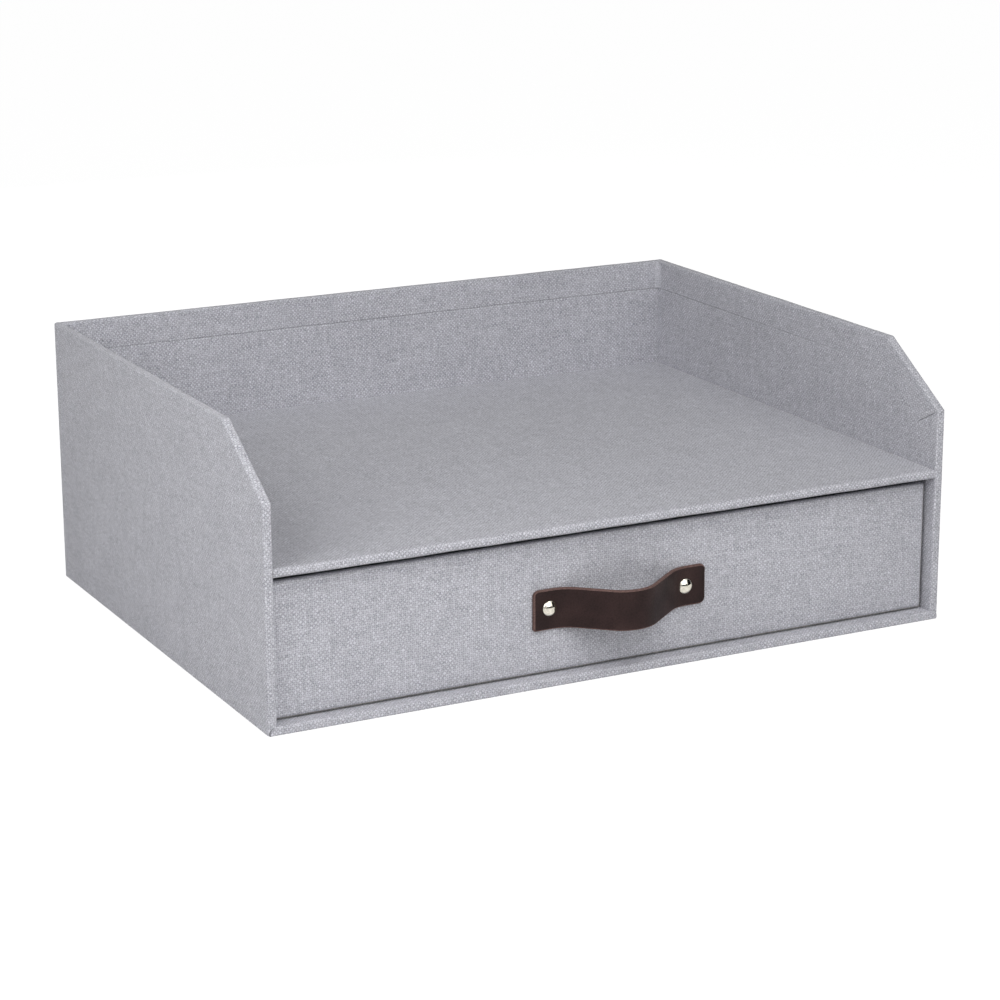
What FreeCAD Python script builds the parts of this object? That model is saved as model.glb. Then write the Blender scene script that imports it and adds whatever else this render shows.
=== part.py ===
import FreeCAD, Part
import math
import os

import Sketcher

# A desk tray over a drawer: a case of board covered in woven cloth, and a board drawer with a
# leather pull.
#
# The case is two chamfered side walls, a back, a base and a shelf. The wall cloth wraps the
# outside, goes over the rims and is turned in, and lining cloth butts against the turn-in. The
# drawer is five boards in the same cloth, and its strap is held by two domed rivets.
#
# X is to the right, Y to the back and Z up, in millimetres. The origin is the middle of the
# case's underside. Every size is a cell of the sheet "sizes", and the sub-parts are bound to it.

SIZES = {
    # the case as a whole
    "case_width": 330.0,
    "case_depth": 250.0,
    "case_height": 124.0,
    # materials
    "board_thickness": 3.0,
    "cloth_thickness": 0.5,
    "fold_radius": 1.0,
    # inside the case
    "bay_height": 62.5,
    "chamfer_run": 41.0,
    "chamfer_drop": 26.0,
    "turn_in": 14.0,
    "mitre_gap": 0.3,
    "base_turn_over": 22.0,
    "shelf_turn_under": 16.0,
    # the drawer and its running gaps
    "drawer_board_thickness": 2.5,
    "front_recess": 6.0,
    "side_gap": 1.0,
    "running_gap": 0.3,
    "head_gap": 3.2,
    "back_gap": 0.5,
    "drawer_turn_in": 15.0,
    "drawer_corner_radius": 1.2,
    # the leather pull
    "strap_length": 84.5,
    "strap_width": 18.0,
    "strap_thickness": 1.6,
    "strap_offset": 1.2,
    "strap_bow": 18.5,
    "strap_rise_span": 29.0,
    "foot_bend_radius": 14.0,
    "crown_bend_radius": 16.0,
    "strap_corner_radius": 2.5,
    # the rivets
    "rivet_spacing": 66.8,
    "rivet_post_diameter": 3.0,
    "rivet_play": 0.05,
    "rivet_cap_diameter": 7.0,
    "rivet_cap_height": 2.2,
    "rivet_cap_rim": 0.4,
    "rivet_socket_depth": 1.0,
    "rivet_head_diameter": 7.0,
    "rivet_head_thickness": 0.8,
}

doc = FreeCAD.newDocument("desk_tray")
sizes = doc.addObject("Spreadsheet::Sheet", "sizes")
for row, (alias, number) in enumerate(SIZES.items(), start=1):
    sizes.set(f"A{row}", alias.replace("_", " "))
    sizes.set(f"B{row}", str(number))
    sizes.setAlias(f"B{row}", alias)
doc.recompute()

# Places along X, from the middle outwards.
HALF_WIDTH = "(sizes.case_width / 2)"
BOARD_OUTER = f"({HALF_WIDTH} - sizes.cloth_thickness)"
BOARD_INNER = f"({BOARD_OUTER} - sizes.board_thickness)"
ROOM_HALF = f"({BOARD_INNER} - sizes.cloth_thickness)"

# Places along Y, from the front to the back.
FRONT = "(-sizes.case_depth / 2)"
BOARD_FRONT = f"({FRONT} + sizes.cloth_thickness)"
TURN_IN_EDGE = f"({FRONT} + sizes.turn_in)"
BACK = "(sizes.case_depth / 2)"
BACK_BOARD_OUTER = f"({BACK} - sizes.cloth_thickness)"
BACK_BOARD_INNER = f"({BACK_BOARD_OUTER} - sizes.board_thickness)"
ROOM_BACK = f"({BACK_BOARD_INNER} - sizes.cloth_thickness)"

# Levels along Z, from the table up.
TABLE = "0"
BASE_BOARD_LOW = "sizes.cloth_thickness"
BASE_BOARD_TOP = f"({BASE_BOARD_LOW} + sizes.board_thickness)"
BAY_FLOOR = f"({BASE_BOARD_TOP} + sizes.cloth_thickness)"
BAY_TOP = f"({BAY_FLOOR} + sizes.bay_height)"
SHELF_BOARD_LOW = f"({BAY_TOP} + sizes.cloth_thickness)"
SHELF_BOARD_TOP = f"({SHELF_BOARD_LOW} + sizes.board_thickness)"
TRAY_FLOOR = f"({SHELF_BOARD_TOP} + sizes.cloth_thickness)"
TOP = "sizes.case_height"
BOARD_TOP = f"({TOP} - sizes.cloth_thickness)"
TURN_IN_LEVEL = f"({TOP} - sizes.turn_in)"

# The drawer: outer faces, then board faces, then the room inside.
DRAWER_HALF = f"({ROOM_HALF} - sizes.side_gap)"
DRAWER_FRONT = f"({FRONT} + sizes.front_recess)"
DRAWER_BACK = f"({ROOM_BACK} - sizes.back_gap)"
DRAWER_LOW = f"({BAY_FLOOR} + sizes.running_gap)"
DRAWER_TOP = f"({BAY_TOP} - sizes.head_gap)"
WALL_HALF = f"({DRAWER_HALF} - sizes.cloth_thickness)"
WALL_FRONT = f"({DRAWER_FRONT} + sizes.cloth_thickness)"
WALL_BACK = f"({DRAWER_BACK} - sizes.cloth_thickness)"
WALL_LOW = f"({DRAWER_LOW} + sizes.cloth_thickness)"
WALL_TOP = f"({DRAWER_TOP} - sizes.cloth_thickness)"
INNER_HALF = f"({WALL_HALF} - sizes.drawer_board_thickness)"
INNER_FRONT = f"({WALL_FRONT} + sizes.drawer_board_thickness)"
INNER_BACK = f"({WALL_BACK} - sizes.drawer_board_thickness)"
INNER_LOW = f"({WALL_LOW} + sizes.drawer_board_thickness)"
LINED_HALF = f"({INNER_HALF} - sizes.cloth_thickness)"
LINED_FRONT = f"({INNER_FRONT} + sizes.cloth_thickness)"
LINED_BACK = f"({INNER_BACK} - sizes.cloth_thickness)"
LINED_LOW = f"({INNER_LOW} + sizes.cloth_thickness)"
DRAWER_TURN_IN_LEVEL = f"({DRAWER_TOP} - sizes.drawer_turn_in)"

# The pull is centred on the drawer's front, and its rivets pass through strap and wall.
PULL_LEVEL = f"(({DRAWER_LOW} + {DRAWER_TOP}) / 2)"
RIVET_HOLE = "(sizes.rivet_post_diameter + 2 * sizes.rivet_play)"

# A fold over a board's edge is never tighter than its cloth allows.
FOLD = "min(sizes.fold_radius; 2 * sizes.cloth_thickness)"
HEM = "(0.8 * sizes.cloth_thickness)"

# Moving the chamfer's two corners in by 1 mm moves them this far along the rim.
CHAMFER_LENGTH = "sqrt(sizes.chamfer_run ^ 2 + sizes.chamfer_drop ^ 2)"
HIGH_CORNER_SHIFT = f"(({CHAMFER_LENGTH} - sizes.chamfer_run) / sizes.chamfer_drop)"
LOW_CORNER_SHIFT = f"(({CHAMFER_LENGTH} - sizes.chamfer_drop) / sizes.chamfer_run)"

# Cuts that leave the material run past it by this much.
PAST = "5"

# The finished sub-parts, by label.
nodes = {}


def value(expression):
    """The number that an expression of the sheet has now."""
    return float(sizes.evalExpression(expression))


def keep(label, piece):
    """Register a finished sub-part under its own label."""
    piece.Label = label
    nodes[label] = piece
    return piece


def slab(label, low, high):
    """A flat rectangular piece between two corners, each of three expressions."""
    piece = doc.addObject("Part::Box", label)
    for side, start, end in zip(("Length", "Width", "Height"), low, high):
        piece.setExpression(side, f"{end} - {start}")
    for axis, start in zip("xyz", low):
        piece.setExpression(f"Placement.Base.{axis}", start)
    return keep(label, piece)


def new_body(label):
    """An empty body that becomes one sub-part."""
    return keep(label, doc.addObject("PartDesign::Body", label))


def sketch_on(body, plane, lift="0", shift=("0", "0")):
    """A sketch on one of the body's origin planes, lifted along its normal and shifted in it."""
    sketch = body.newObject("Sketcher::SketchObject", f"{body.Name}_sketch")
    planes = {item.Role: item for item in body.Origin.OriginFeatures}
    sketch.AttachmentSupport = [(planes[f"{plane}_Plane"], "")]
    sketch.MapMode = "FlatFace"
    for axis, place in zip("xyz", (*shift, lift)):
        sketch.setExpression(f"AttachmentOffset.Base.{axis}", place)
    return sketch


def pin(sketch, geometry, point, place):
    """Tie a point of the sketch to a pair of expressions, measured from the sketch's origin."""
    for kind, expression in zip(("DistanceX", "DistanceY"), place):
        rule = Sketcher.Constraint(kind, -1, 1, geometry, point, value(expression))
        sketch.setExpression(f"Constraints[{sketch.addConstraint(rule)}]", expression)


def bind(sketch, rule, expression):
    """Add a rule that holds a size, and tie the size to an expression."""
    sketch.setExpression(f"Constraints[{sketch.addConstraint(rule)}]", expression)


def draw_outline(sketch, corners):
    """A closed outline of straight sides whose corners are pairs of expressions."""
    points = [FreeCAD.Vector(value(across), value(up), 0) for across, up in corners]
    first = sketch.GeometryCount
    for start, end in zip(points, points[1:] + points[:1]):
        sketch.addGeometry(Part.LineSegment(start, end), False)
    for number, corner in enumerate(corners):
        following = first + (number + 1) % len(corners)
        joined = Sketcher.Constraint("Coincident", first + number, 2, following, 1)
        sketch.addConstraint(joined)
        pin(sketch, first + number, 1, corner)


def draw_rectangle(sketch, low, high):
    """A rectangle between two corners."""
    corners = [low, (high[0], low[1]), high, (low[0], high[1])]
    draw_outline(sketch, corners)


def draw_circle(sketch, centre, diameter):
    """A circle whose centre and diameter are expressions."""
    middle = FreeCAD.Vector(value(centre[0]), value(centre[1]), 0)
    upward = FreeCAD.Vector(0, 0, 1)
    number = sketch.addGeometry(Part.Circle(middle, upward, value(diameter) / 2), False)
    pin(sketch, number, 3, centre)
    rule = Sketcher.Constraint("Diameter", number, value(diameter))
    bind(sketch, rule, diameter)


def extrude(body, kind, sketch, length, both_ways=False, backwards=False):
    """Pad or pocket a sketch by a length, along its normal or evenly to both sides."""
    feature = body.newObject(f"PartDesign::{kind}", f"{body.Name}_{kind.lower()}")
    feature.Profile = sketch
    feature.Type = 0
    feature.Midplane = both_ways
    feature.Reversed = backwards
    feature.setExpression("Length", length)
    doc.recompute()
    return feature


def pad(body, sketch, length, **options):
    """Add a prism to the body."""
    extrude(body, "Pad", sketch, length, **options)


def cut(body, sketch, length, **options):
    """Take a prism out of the body, and make sure that it takes something."""
    before = body.Shape.Volume
    feature = extrude(body, "Pocket", sketch, length, **options)
    if not body.Shape.Volume < before:
        raise RuntimeError(f"{feature.Name} cuts nothing")


def round_edges(body, radius, chosen):
    """Round the body's straight edges that the function chosen picks by their two ends."""
    base = body.Tip
    names = []
    for number, edge in enumerate(base.Shape.Edges, start=1):
        ends = [vertex.Point for vertex in edge.Vertexes]
        if len(ends) == 2 and chosen(*ends):
            names.append(f"Edge{number}")
    feature = body.newObject("PartDesign::Fillet", f"{body.Name}_fillet")
    feature.Base = (base, names)
    feature.setExpression("Radius", radius)
    doc.recompute()


def near(first, second):
    """Whether two numbers are the same place."""
    return abs(first - second) < 1e-4


def rim_corners(inset):
    """The side wall's front and chamfer corners, moved in from its edge, from low to high."""
    front = f"({FRONT} + {inset})"
    low = f"({TOP} - sizes.chamfer_drop - {inset} * {LOW_CORNER_SHIFT})"
    high = f"({FRONT} + sizes.chamfer_run + {inset} * {HIGH_CORNER_SHIFT})"
    return [(front, low), (high, f"({TOP} - {inset})")]


def side_boards():
    """Two upright side boards with a sloping corner at the top front."""
    profile = [
        (BOARD_FRONT, BASE_BOARD_LOW),
        *rim_corners("sizes.cloth_thickness"),
        (BACK_BOARD_OUTER, BOARD_TOP),
        (BACK_BOARD_OUTER, BASE_BOARD_LOW),
    ]
    for label, inner_face in (
        ("left_side_board", f"(-{BOARD_OUTER})"),
        ("right_side_board", BOARD_INNER),
    ):
        body = new_body(label)
        sketch = sketch_on(body, "YZ", inner_face)
        draw_outline(sketch, profile)
        pad(body, sketch, "sizes.board_thickness")


def case_boards():
    """The back, base and shelf boards, all held between the side boards."""
    slab(
        "back_board",
        (f"(-{BOARD_INNER})", BACK_BOARD_INNER, BASE_BOARD_LOW),
        (BOARD_INNER, BACK_BOARD_OUTER, BOARD_TOP),
    )
    slab(
        "base_board",
        (f"(-{BOARD_INNER})", BOARD_FRONT, BASE_BOARD_LOW),
        (BOARD_INNER, BACK_BOARD_INNER, BASE_BOARD_TOP),
    )
    slab(
        "shelf_board",
        (f"(-{BOARD_INNER})", BOARD_FRONT, SHELF_BOARD_LOW),
        (BOARD_INNER, BACK_BOARD_INNER, SHELF_BOARD_TOP),
    )


def wall_cover_cloth():
    """One cloth round both sides and the back, over their rims and turned in."""
    body = new_body("wall_cover_cloth")
    sketch = sketch_on(body, "YZ")
    outline = [
        (FRONT, BASE_BOARD_LOW),
        *rim_corners("0"),
        (BACK, TOP),
        (BACK, BASE_BOARD_LOW),
    ]
    draw_outline(sketch, outline)
    pad(body, sketch, "sizes.case_width", both_ways=True)

    room = sketch_on(body, "XY")
    draw_rectangle(room, (f"(-{ROOM_HALF})", f"({FRONT} - {PAST})"), (ROOM_HALF, ROOM_BACK))
    cut(body, room, f"{TOP} + {PAST}", backwards=True)

    half, room_half = value(HALF_WIDTH), value(ROOM_HALF)
    back, room_back, foot = value(BACK), value(ROOM_BACK), value(BASE_BOARD_LOW)

    def on_fold(start, end):
        """Edges that the cloth folds over: all but the foot and the room's upright corners."""
        at_foot = near(start.z, foot) and near(end.z, foot)
        on_side = near(abs(start.x), half) or near(abs(start.x), room_half)
        on_back = near(start.y, back) or near(start.y, room_back)
        along_side = near(start.x, end.x) and on_side
        along_back = near(start.y, end.y) and on_back and not near(start.x, end.x)
        in_corner = along_side and near(start.y, room_back) and near(end.y, room_back)
        return (along_side or along_back) and not at_foot and not in_corner

    round_edges(body, FOLD, on_fold)

    lined = sketch_on(body, "YZ")
    inner_layer = [
        (BOARD_FRONT, f"({BASE_BOARD_LOW} - {PAST})"),
        (BOARD_FRONT, BASE_BOARD_TOP),
        (TURN_IN_EDGE, BASE_BOARD_TOP),
        (TURN_IN_EDGE, SHELF_BOARD_LOW),
        (BOARD_FRONT, SHELF_BOARD_LOW),
        (BOARD_FRONT, SHELF_BOARD_TOP),
        (TURN_IN_EDGE, SHELF_BOARD_TOP),
        *rim_corners("sizes.turn_in"),
        (BACK_BOARD_INNER, TURN_IN_LEVEL),
        (BACK_BOARD_INNER, f"({BASE_BOARD_LOW} - {PAST})"),
    ]
    draw_outline(lined, inner_layer)
    cut(body, lined, f"2 * {BOARD_INNER}", both_ways=True)

    board = [
        (BOARD_FRONT, f"({BASE_BOARD_LOW} - {PAST})"),
        *rim_corners("sizes.cloth_thickness"),
        (BACK_BOARD_OUTER, BOARD_TOP),
        (BACK_BOARD_OUTER, f"({BASE_BOARD_LOW} - {PAST})"),
    ]
    for inner_face in (f"(-{BOARD_OUTER})", BOARD_INNER):
        side = sketch_on(body, "YZ", inner_face)
        draw_outline(side, board)
        cut(body, side, "sizes.board_thickness", backwards=True)

    behind = sketch_on(body, "YZ")
    low_corner = (BACK_BOARD_INNER, f"({BASE_BOARD_LOW} - {PAST})")
    draw_rectangle(behind, low_corner, (BACK_BOARD_OUTER, BOARD_TOP))
    cut(body, behind, f"2 * {BOARD_INNER}", both_ways=True)

    # A slit parts the two turned-in flaps that meet at the chamfer's lower corner.
    slit = sketch_on(body, "YZ")
    rim_end = rim_corners("sizes.fold_radius")[0]
    edge_end = rim_corners("(sizes.turn_in + sizes.mitre_gap)")[0]
    half_gap = "sizes.mitre_gap / 2"
    outline = [
        (rim_end[0], f"({rim_end[1]} - {half_gap})"),
        (edge_end[0], f"({edge_end[1]} - {half_gap})"),
        (edge_end[0], f"({edge_end[1]} + {half_gap})"),
        (rim_end[0], f"({rim_end[1]} + {half_gap})"),
    ]
    draw_outline(slit, outline)
    cut(body, slit, f"2 * {BOARD_INNER}", both_ways=True)


def base_cover_cloth():
    """The cloth under the case, brought up over the base's front edge and turned in."""
    body = new_body("base_cover_cloth")
    under = sketch_on(body, "XY")
    draw_rectangle(under, (f"(-{HALF_WIDTH})", FRONT), (HALF_WIDTH, BACK))
    pad(body, under, BASE_BOARD_LOW)
    lip_edge = f"({FRONT} + sizes.base_turn_over)"
    lip = sketch_on(body, "YZ")
    outline = [
        (FRONT, TABLE),
        (BOARD_FRONT, TABLE),
        (BOARD_FRONT, BASE_BOARD_TOP),
        (lip_edge, BASE_BOARD_TOP),
        (lip_edge, BAY_FLOOR),
        (FRONT, BAY_FLOOR),
    ]
    draw_outline(lip, outline)
    pad(body, lip, f"2 * {ROOM_HALF}", both_ways=True)
    front, floor = value(FRONT), value(BAY_FLOOR)

    def on_lip(start, end):
        """The lip's upper front edge."""
        return all(near(point.y, front) and near(point.z, floor) for point in (start, end))

    def on_hem(start, end):
        """The lower edges all round."""
        return near(start.z, 0) and near(end.z, 0)

    round_edges(body, FOLD, on_lip)
    round_edges(body, HEM, on_hem)


def tray_floor_cloth():
    """The tray's floor cloth, folded round the shelf's front edge and under it."""
    body = new_body("tray_floor_cloth")
    under_edge = f"({FRONT} + sizes.shelf_turn_under)"
    sketch = sketch_on(body, "YZ")
    outline = [
        (FRONT, BAY_TOP),
        (under_edge, BAY_TOP),
        (under_edge, SHELF_BOARD_LOW),
        (BOARD_FRONT, SHELF_BOARD_LOW),
        (BOARD_FRONT, SHELF_BOARD_TOP),
        (ROOM_BACK, SHELF_BOARD_TOP),
        (ROOM_BACK, TRAY_FLOOR),
        (FRONT, TRAY_FLOOR),
    ]
    draw_outline(sketch, outline)
    pad(body, sketch, f"2 * {ROOM_HALF}", both_ways=True)
    front = value(FRONT)

    def on_front(start, end):
        """The two long front edges."""
        along = not near(start.x, end.x)
        return along and near(start.y, front) and near(end.y, front)

    round_edges(body, FOLD, on_front)


def lining(label, outline):
    """Lining cloth on both side walls and the back, cut from the outline seen from the side."""
    body = new_body(label)
    sketch = sketch_on(body, "YZ")
    draw_outline(sketch, outline)
    pad(body, sketch, f"2 * {BOARD_INNER}", both_ways=True)
    room = sketch_on(body, "XY")
    draw_rectangle(room, (f"(-{ROOM_HALF})", f"({FRONT} - {PAST})"), (ROOM_HALF, ROOM_BACK))
    cut(body, room, f"{TOP} + {PAST}", backwards=True)


def linings():
    """The tray's and the bay's wall linings, and the flat cloths of the bay."""
    tray_outline = [
        (TURN_IN_EDGE, SHELF_BOARD_TOP),
        *rim_corners("sizes.turn_in"),
        (BACK_BOARD_INNER, TURN_IN_LEVEL),
        (BACK_BOARD_INNER, SHELF_BOARD_TOP),
    ]
    bay_outline = [
        (TURN_IN_EDGE, BASE_BOARD_TOP),
        (TURN_IN_EDGE, SHELF_BOARD_LOW),
        (BACK_BOARD_INNER, SHELF_BOARD_LOW),
        (BACK_BOARD_INNER, BASE_BOARD_TOP),
    ]
    lining("tray_wall_lining", tray_outline)
    lining("bay_wall_lining", bay_outline)
    slab(
        "bay_floor_cloth",
        (f"(-{ROOM_HALF})", f"({FRONT} + sizes.base_turn_over)", BASE_BOARD_TOP),
        (ROOM_HALF, ROOM_BACK, BAY_FLOOR),
    )
    slab(
        "bay_ceiling_cloth",
        (f"(-{ROOM_HALF})", f"({FRONT} + sizes.shelf_turn_under)", BAY_TOP),
        (ROOM_HALF, ROOM_BACK, SHELF_BOARD_LOW),
    )


def rivet_places():
    """The two rivets' places across the drawer, left and right."""
    return ("(-sizes.rivet_spacing / 2)", "(sizes.rivet_spacing / 2)")


def cut_rivet_holes(body, behind):
    """Two holes through a piece of the drawer's front that ends at the place behind."""
    sketch = sketch_on(body, "XZ", f"(-{behind})")
    for across in rivet_places():
        draw_circle(sketch, (across, PULL_LEVEL), RIVET_HOLE)
    cut(body, sketch, f"{behind} - {DRAWER_FRONT} + sizes.strap_thickness + {PAST}", backwards=True)


def drawer_boards():
    """The drawer's bottom and four walls: front and back run across, the sides stand between."""
    body = new_body("drawer_front_board")
    sketch = sketch_on(body, "XY", WALL_LOW)
    draw_rectangle(sketch, (f"(-{WALL_HALF})", WALL_FRONT), (WALL_HALF, INNER_FRONT))
    pad(body, sketch, f"{WALL_TOP} - {WALL_LOW}")
    cut_rivet_holes(body, INNER_FRONT)
    slab(
        "drawer_back_board",
        (f"(-{WALL_HALF})", INNER_BACK, WALL_LOW),
        (WALL_HALF, WALL_BACK, WALL_TOP),
    )
    slab(
        "drawer_left_board",
        (f"(-{WALL_HALF})", INNER_FRONT, WALL_LOW),
        (f"(-{INNER_HALF})", INNER_BACK, WALL_TOP),
    )
    slab(
        "drawer_right_board",
        (INNER_HALF, INNER_FRONT, WALL_LOW),
        (WALL_HALF, INNER_BACK, WALL_TOP),
    )
    slab(
        "drawer_bottom_board",
        (f"(-{INNER_HALF})", INNER_FRONT, WALL_LOW),
        (INNER_HALF, INNER_BACK, INNER_LOW),
    )


def drawer_cover_cloth():
    """One cloth round the drawer's four walls, over their rims and turned in."""
    body = new_body("drawer_cover_cloth")
    height = f"{DRAWER_TOP} - {DRAWER_LOW}"
    outside = sketch_on(body, "XY", DRAWER_LOW)
    draw_rectangle(outside, (f"(-{DRAWER_HALF})", DRAWER_FRONT), (DRAWER_HALF, DRAWER_BACK))
    pad(body, outside, height)
    room = sketch_on(body, "XY", DRAWER_LOW)
    draw_rectangle(room, (f"(-{LINED_HALF})", LINED_FRONT), (LINED_HALF, LINED_BACK))
    cut(body, room, height, backwards=True)
    half, front, back, top = map(value, (DRAWER_HALF, DRAWER_FRONT, DRAWER_BACK, DRAWER_TOP))

    def on_corner(start, end):
        """The four outer upright edges."""
        upright = near(start.x, end.x) and near(start.y, end.y)
        outer = near(abs(start.x), half) and (near(start.y, front) or near(start.y, back))
        return upright and outer

    def on_rim(start, end):
        """Every edge round the top face."""
        return near(start.z, top) and near(end.z, top)

    round_edges(body, "sizes.drawer_corner_radius", on_corner)
    round_edges(body, FOLD, on_rim)

    boards = sketch_on(body, "XY", DRAWER_LOW)
    draw_rectangle(boards, (f"(-{WALL_HALF})", WALL_FRONT), (WALL_HALF, WALL_BACK))
    draw_rectangle(boards, (f"(-{INNER_HALF})", INNER_FRONT), (INNER_HALF, INNER_BACK))
    cut(body, boards, f"{WALL_TOP} - {DRAWER_LOW}", backwards=True)
    lined = sketch_on(body, "XY", DRAWER_LOW)
    draw_rectangle(lined, (f"(-{INNER_HALF})", INNER_FRONT), (INNER_HALF, INNER_BACK))
    cut(body, lined, f"{DRAWER_TURN_IN_LEVEL} - {DRAWER_LOW}", backwards=True)
    cut_rivet_holes(body, WALL_FRONT)


def drawer_linings():
    """The lining of the drawer's walls and floor, and the sheet under it."""
    body = new_body("drawer_wall_lining")
    height = f"{DRAWER_TURN_IN_LEVEL} - {INNER_LOW}"
    outside = sketch_on(body, "XY", INNER_LOW)
    draw_rectangle(outside, (f"(-{INNER_HALF})", INNER_FRONT), (INNER_HALF, INNER_BACK))
    draw_rectangle(outside, (f"(-{LINED_HALF})", LINED_FRONT), (LINED_HALF, LINED_BACK))
    pad(body, outside, height)
    cut_rivet_holes(body, LINED_FRONT)
    slab(
        "drawer_floor_lining",
        (f"(-{LINED_HALF})", LINED_FRONT, INNER_LOW),
        (LINED_HALF, LINED_BACK, LINED_LOW),
    )
    slab(
        "drawer_underside_sheet",
        (f"(-{WALL_HALF})", WALL_FRONT, DRAWER_LOW),
        (WALL_HALF, WALL_BACK, WALL_LOW),
    )


def bend(centre, radius, start, end):
    """An arc of a sketch about a centre, between two angles in degrees."""
    circle = Part.Circle(centre, FreeCAD.Vector(0, 0, 1), radius)
    return Part.ArcOfCircle(circle, math.radians(start), math.radians(end))


def strap_line():
    """The seven pieces of the strap's line, with out from the drawer being down in the sketch.

    The line runs flat, bends away from the drawer, runs straight up a slope and bends back over
    the crown, then the same again. The slope is that of a line that touches both bends.
    """
    run, rise = value("sizes.strap_rise_span"), value("sizes.strap_bow")
    foot, crown = value("sizes.foot_bend_radius"), value("sizes.crown_bend_radius")
    apart = math.hypot(run, rise - foot - crown)
    slope = math.atan2(rise - foot - crown, run) + math.asin((foot + crown) / apart)
    across, along = math.sin(slope), math.cos(slope)
    tilt = math.degrees(slope)
    half_length, offset = value("sizes.strap_length / 2"), value("sizes.strap_offset")

    def spot(x, out):
        """A point of the sketch."""
        return FreeCAD.Vector(x, -out, 0)

    foot_end = (run - foot * across, foot * (1 - along))
    crown_end = (crown * across, rise - crown * (1 - along))
    left_foot_end, left_crown_end = [(-x, out) for x, out in (foot_end, crown_end)]
    return [
        Part.LineSegment(spot(offset - half_length, 0), spot(-run, 0)),
        bend(spot(-run, foot), foot, 90 - tilt, 90),
        Part.LineSegment(spot(*left_foot_end), spot(*left_crown_end)),
        bend(spot(0, rise - crown), crown, 270 - tilt, 270 + tilt),
        Part.LineSegment(spot(*crown_end), spot(*foot_end)),
        bend(spot(run, foot), foot, 90, 90 + tilt),
        Part.LineSegment(spot(run, 0), spot(offset + half_length, 0)),
    ]


def tie_strap_line(path):
    """Make each piece of the line touch the next smoothly, and tie its ends and bends."""
    start, end, centre = 1, 2, 3
    left_flat, left_foot, left_slope, crown, right_slope, right_foot, right_flat = range(7)
    joints = [
        (left_flat, end, left_foot, end),
        (left_foot, start, left_slope, start),
        (left_slope, end, crown, start),
        (crown, end, right_slope, start),
        (right_slope, end, right_foot, end),
        (right_foot, start, right_flat, start),
    ]
    for joint in joints:
        path.addConstraint(Sketcher.Constraint("Tangent", *joint))
    for flat in (left_flat, right_flat):
        path.addConstraint(Sketcher.Constraint("Horizontal", flat))
    low = "-sizes.foot_bend_radius"
    pin(path, left_flat, start, ("sizes.strap_offset - sizes.strap_length / 2", "0"))
    pin(path, right_flat, end, ("sizes.strap_offset + sizes.strap_length / 2", "0"))
    pin(path, left_foot, centre, ("-sizes.strap_rise_span", low))
    pin(path, right_foot, centre, ("sizes.strap_rise_span", low))
    pin(path, crown, centre, ("0", "sizes.crown_bend_radius - sizes.strap_bow"))
    radius = Sketcher.Constraint("Radius", crown, value("sizes.crown_bend_radius"))
    bind(path, radius, "sizes.crown_bend_radius")


def leather_pull():
    """A strap that lies flat under its rivets and bows away from the drawer between them."""
    body = new_body("leather_pull")
    middle = f"({DRAWER_FRONT} - sizes.strap_thickness / 2)"
    path = sketch_on(body, "XY", PULL_LEVEL, ("0", middle))
    for piece in strap_line():
        path.addGeometry(piece, False)
    tie_strap_line(path)

    left_end = "(sizes.strap_offset - sizes.strap_length / 2)"
    section = sketch_on(body, "YZ", left_end, (middle, PULL_LEVEL))
    draw_rectangle(
        section,
        ("-sizes.strap_thickness / 2", "-sizes.strap_width / 2"),
        ("sizes.strap_thickness / 2", "sizes.strap_width / 2"),
    )
    sweep = body.newObject("PartDesign::AdditivePipe", "leather_pull_sweep")
    sweep.Profile = section
    sweep.Spine = (path, [])
    doc.recompute()
    ends = [value(f"sizes.strap_offset {sign} sizes.strap_length / 2") for sign in "-+"]

    def on_end_corner(start, end):
        """The four short edges through the leather at its ends."""
        through = near(start.x, end.x) and near(start.z, end.z)
        return through and any(near(start.x, place) for place in ends)

    round_edges(body, "sizes.strap_corner_radius", on_end_corner)
    cut_rivet_holes(body, DRAWER_FRONT)


def rivets():
    """Two domed caps over the strap, each pressed on a post whose head is inside the drawer."""
    cap_radius = "(sizes.rivet_cap_diameter / 2)"
    post_radius = "(sizes.rivet_post_diameter / 2)"
    socket_radius = f"({post_radius} + sizes.rivet_play)"
    head_radius = "(sizes.rivet_head_diameter / 2)"
    seat = "(-sizes.strap_thickness)"
    socket_end = f"({seat} - sizes.rivet_socket_depth)"
    brim = f"({seat} - sizes.rivet_cap_rim)"
    crown = f"({seat} - sizes.rivet_cap_height)"
    wall = "(2 * sizes.cloth_thickness + sizes.drawer_board_thickness)"
    for side, across in zip(("left", "right"), rivet_places()):
        cap = new_body(f"{side}_rivet_cap")
        profile = sketch_on(cap, "YZ", across, (DRAWER_FRONT, PULL_LEVEL))
        draw_cap(profile, seat, socket_end, brim, crown, socket_radius, cap_radius)
        turn(cap, profile)

        post = new_body(f"{side}_rivet_post")
        profile = sketch_on(post, "YZ", across, (DRAWER_FRONT, PULL_LEVEL))
        head_end = f"({wall} + sizes.rivet_head_thickness)"
        outline = [
            (socket_end, "0"),
            (socket_end, post_radius),
            (wall, post_radius),
            (wall, head_radius),
            (f"({wall} + sizes.rivet_head_thickness / 2)", head_radius),
            (head_end, f"({head_radius} - sizes.rivet_head_thickness / 2)"),
            (head_end, "0"),
        ]
        draw_outline(profile, outline)
        turn(post, profile)


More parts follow.
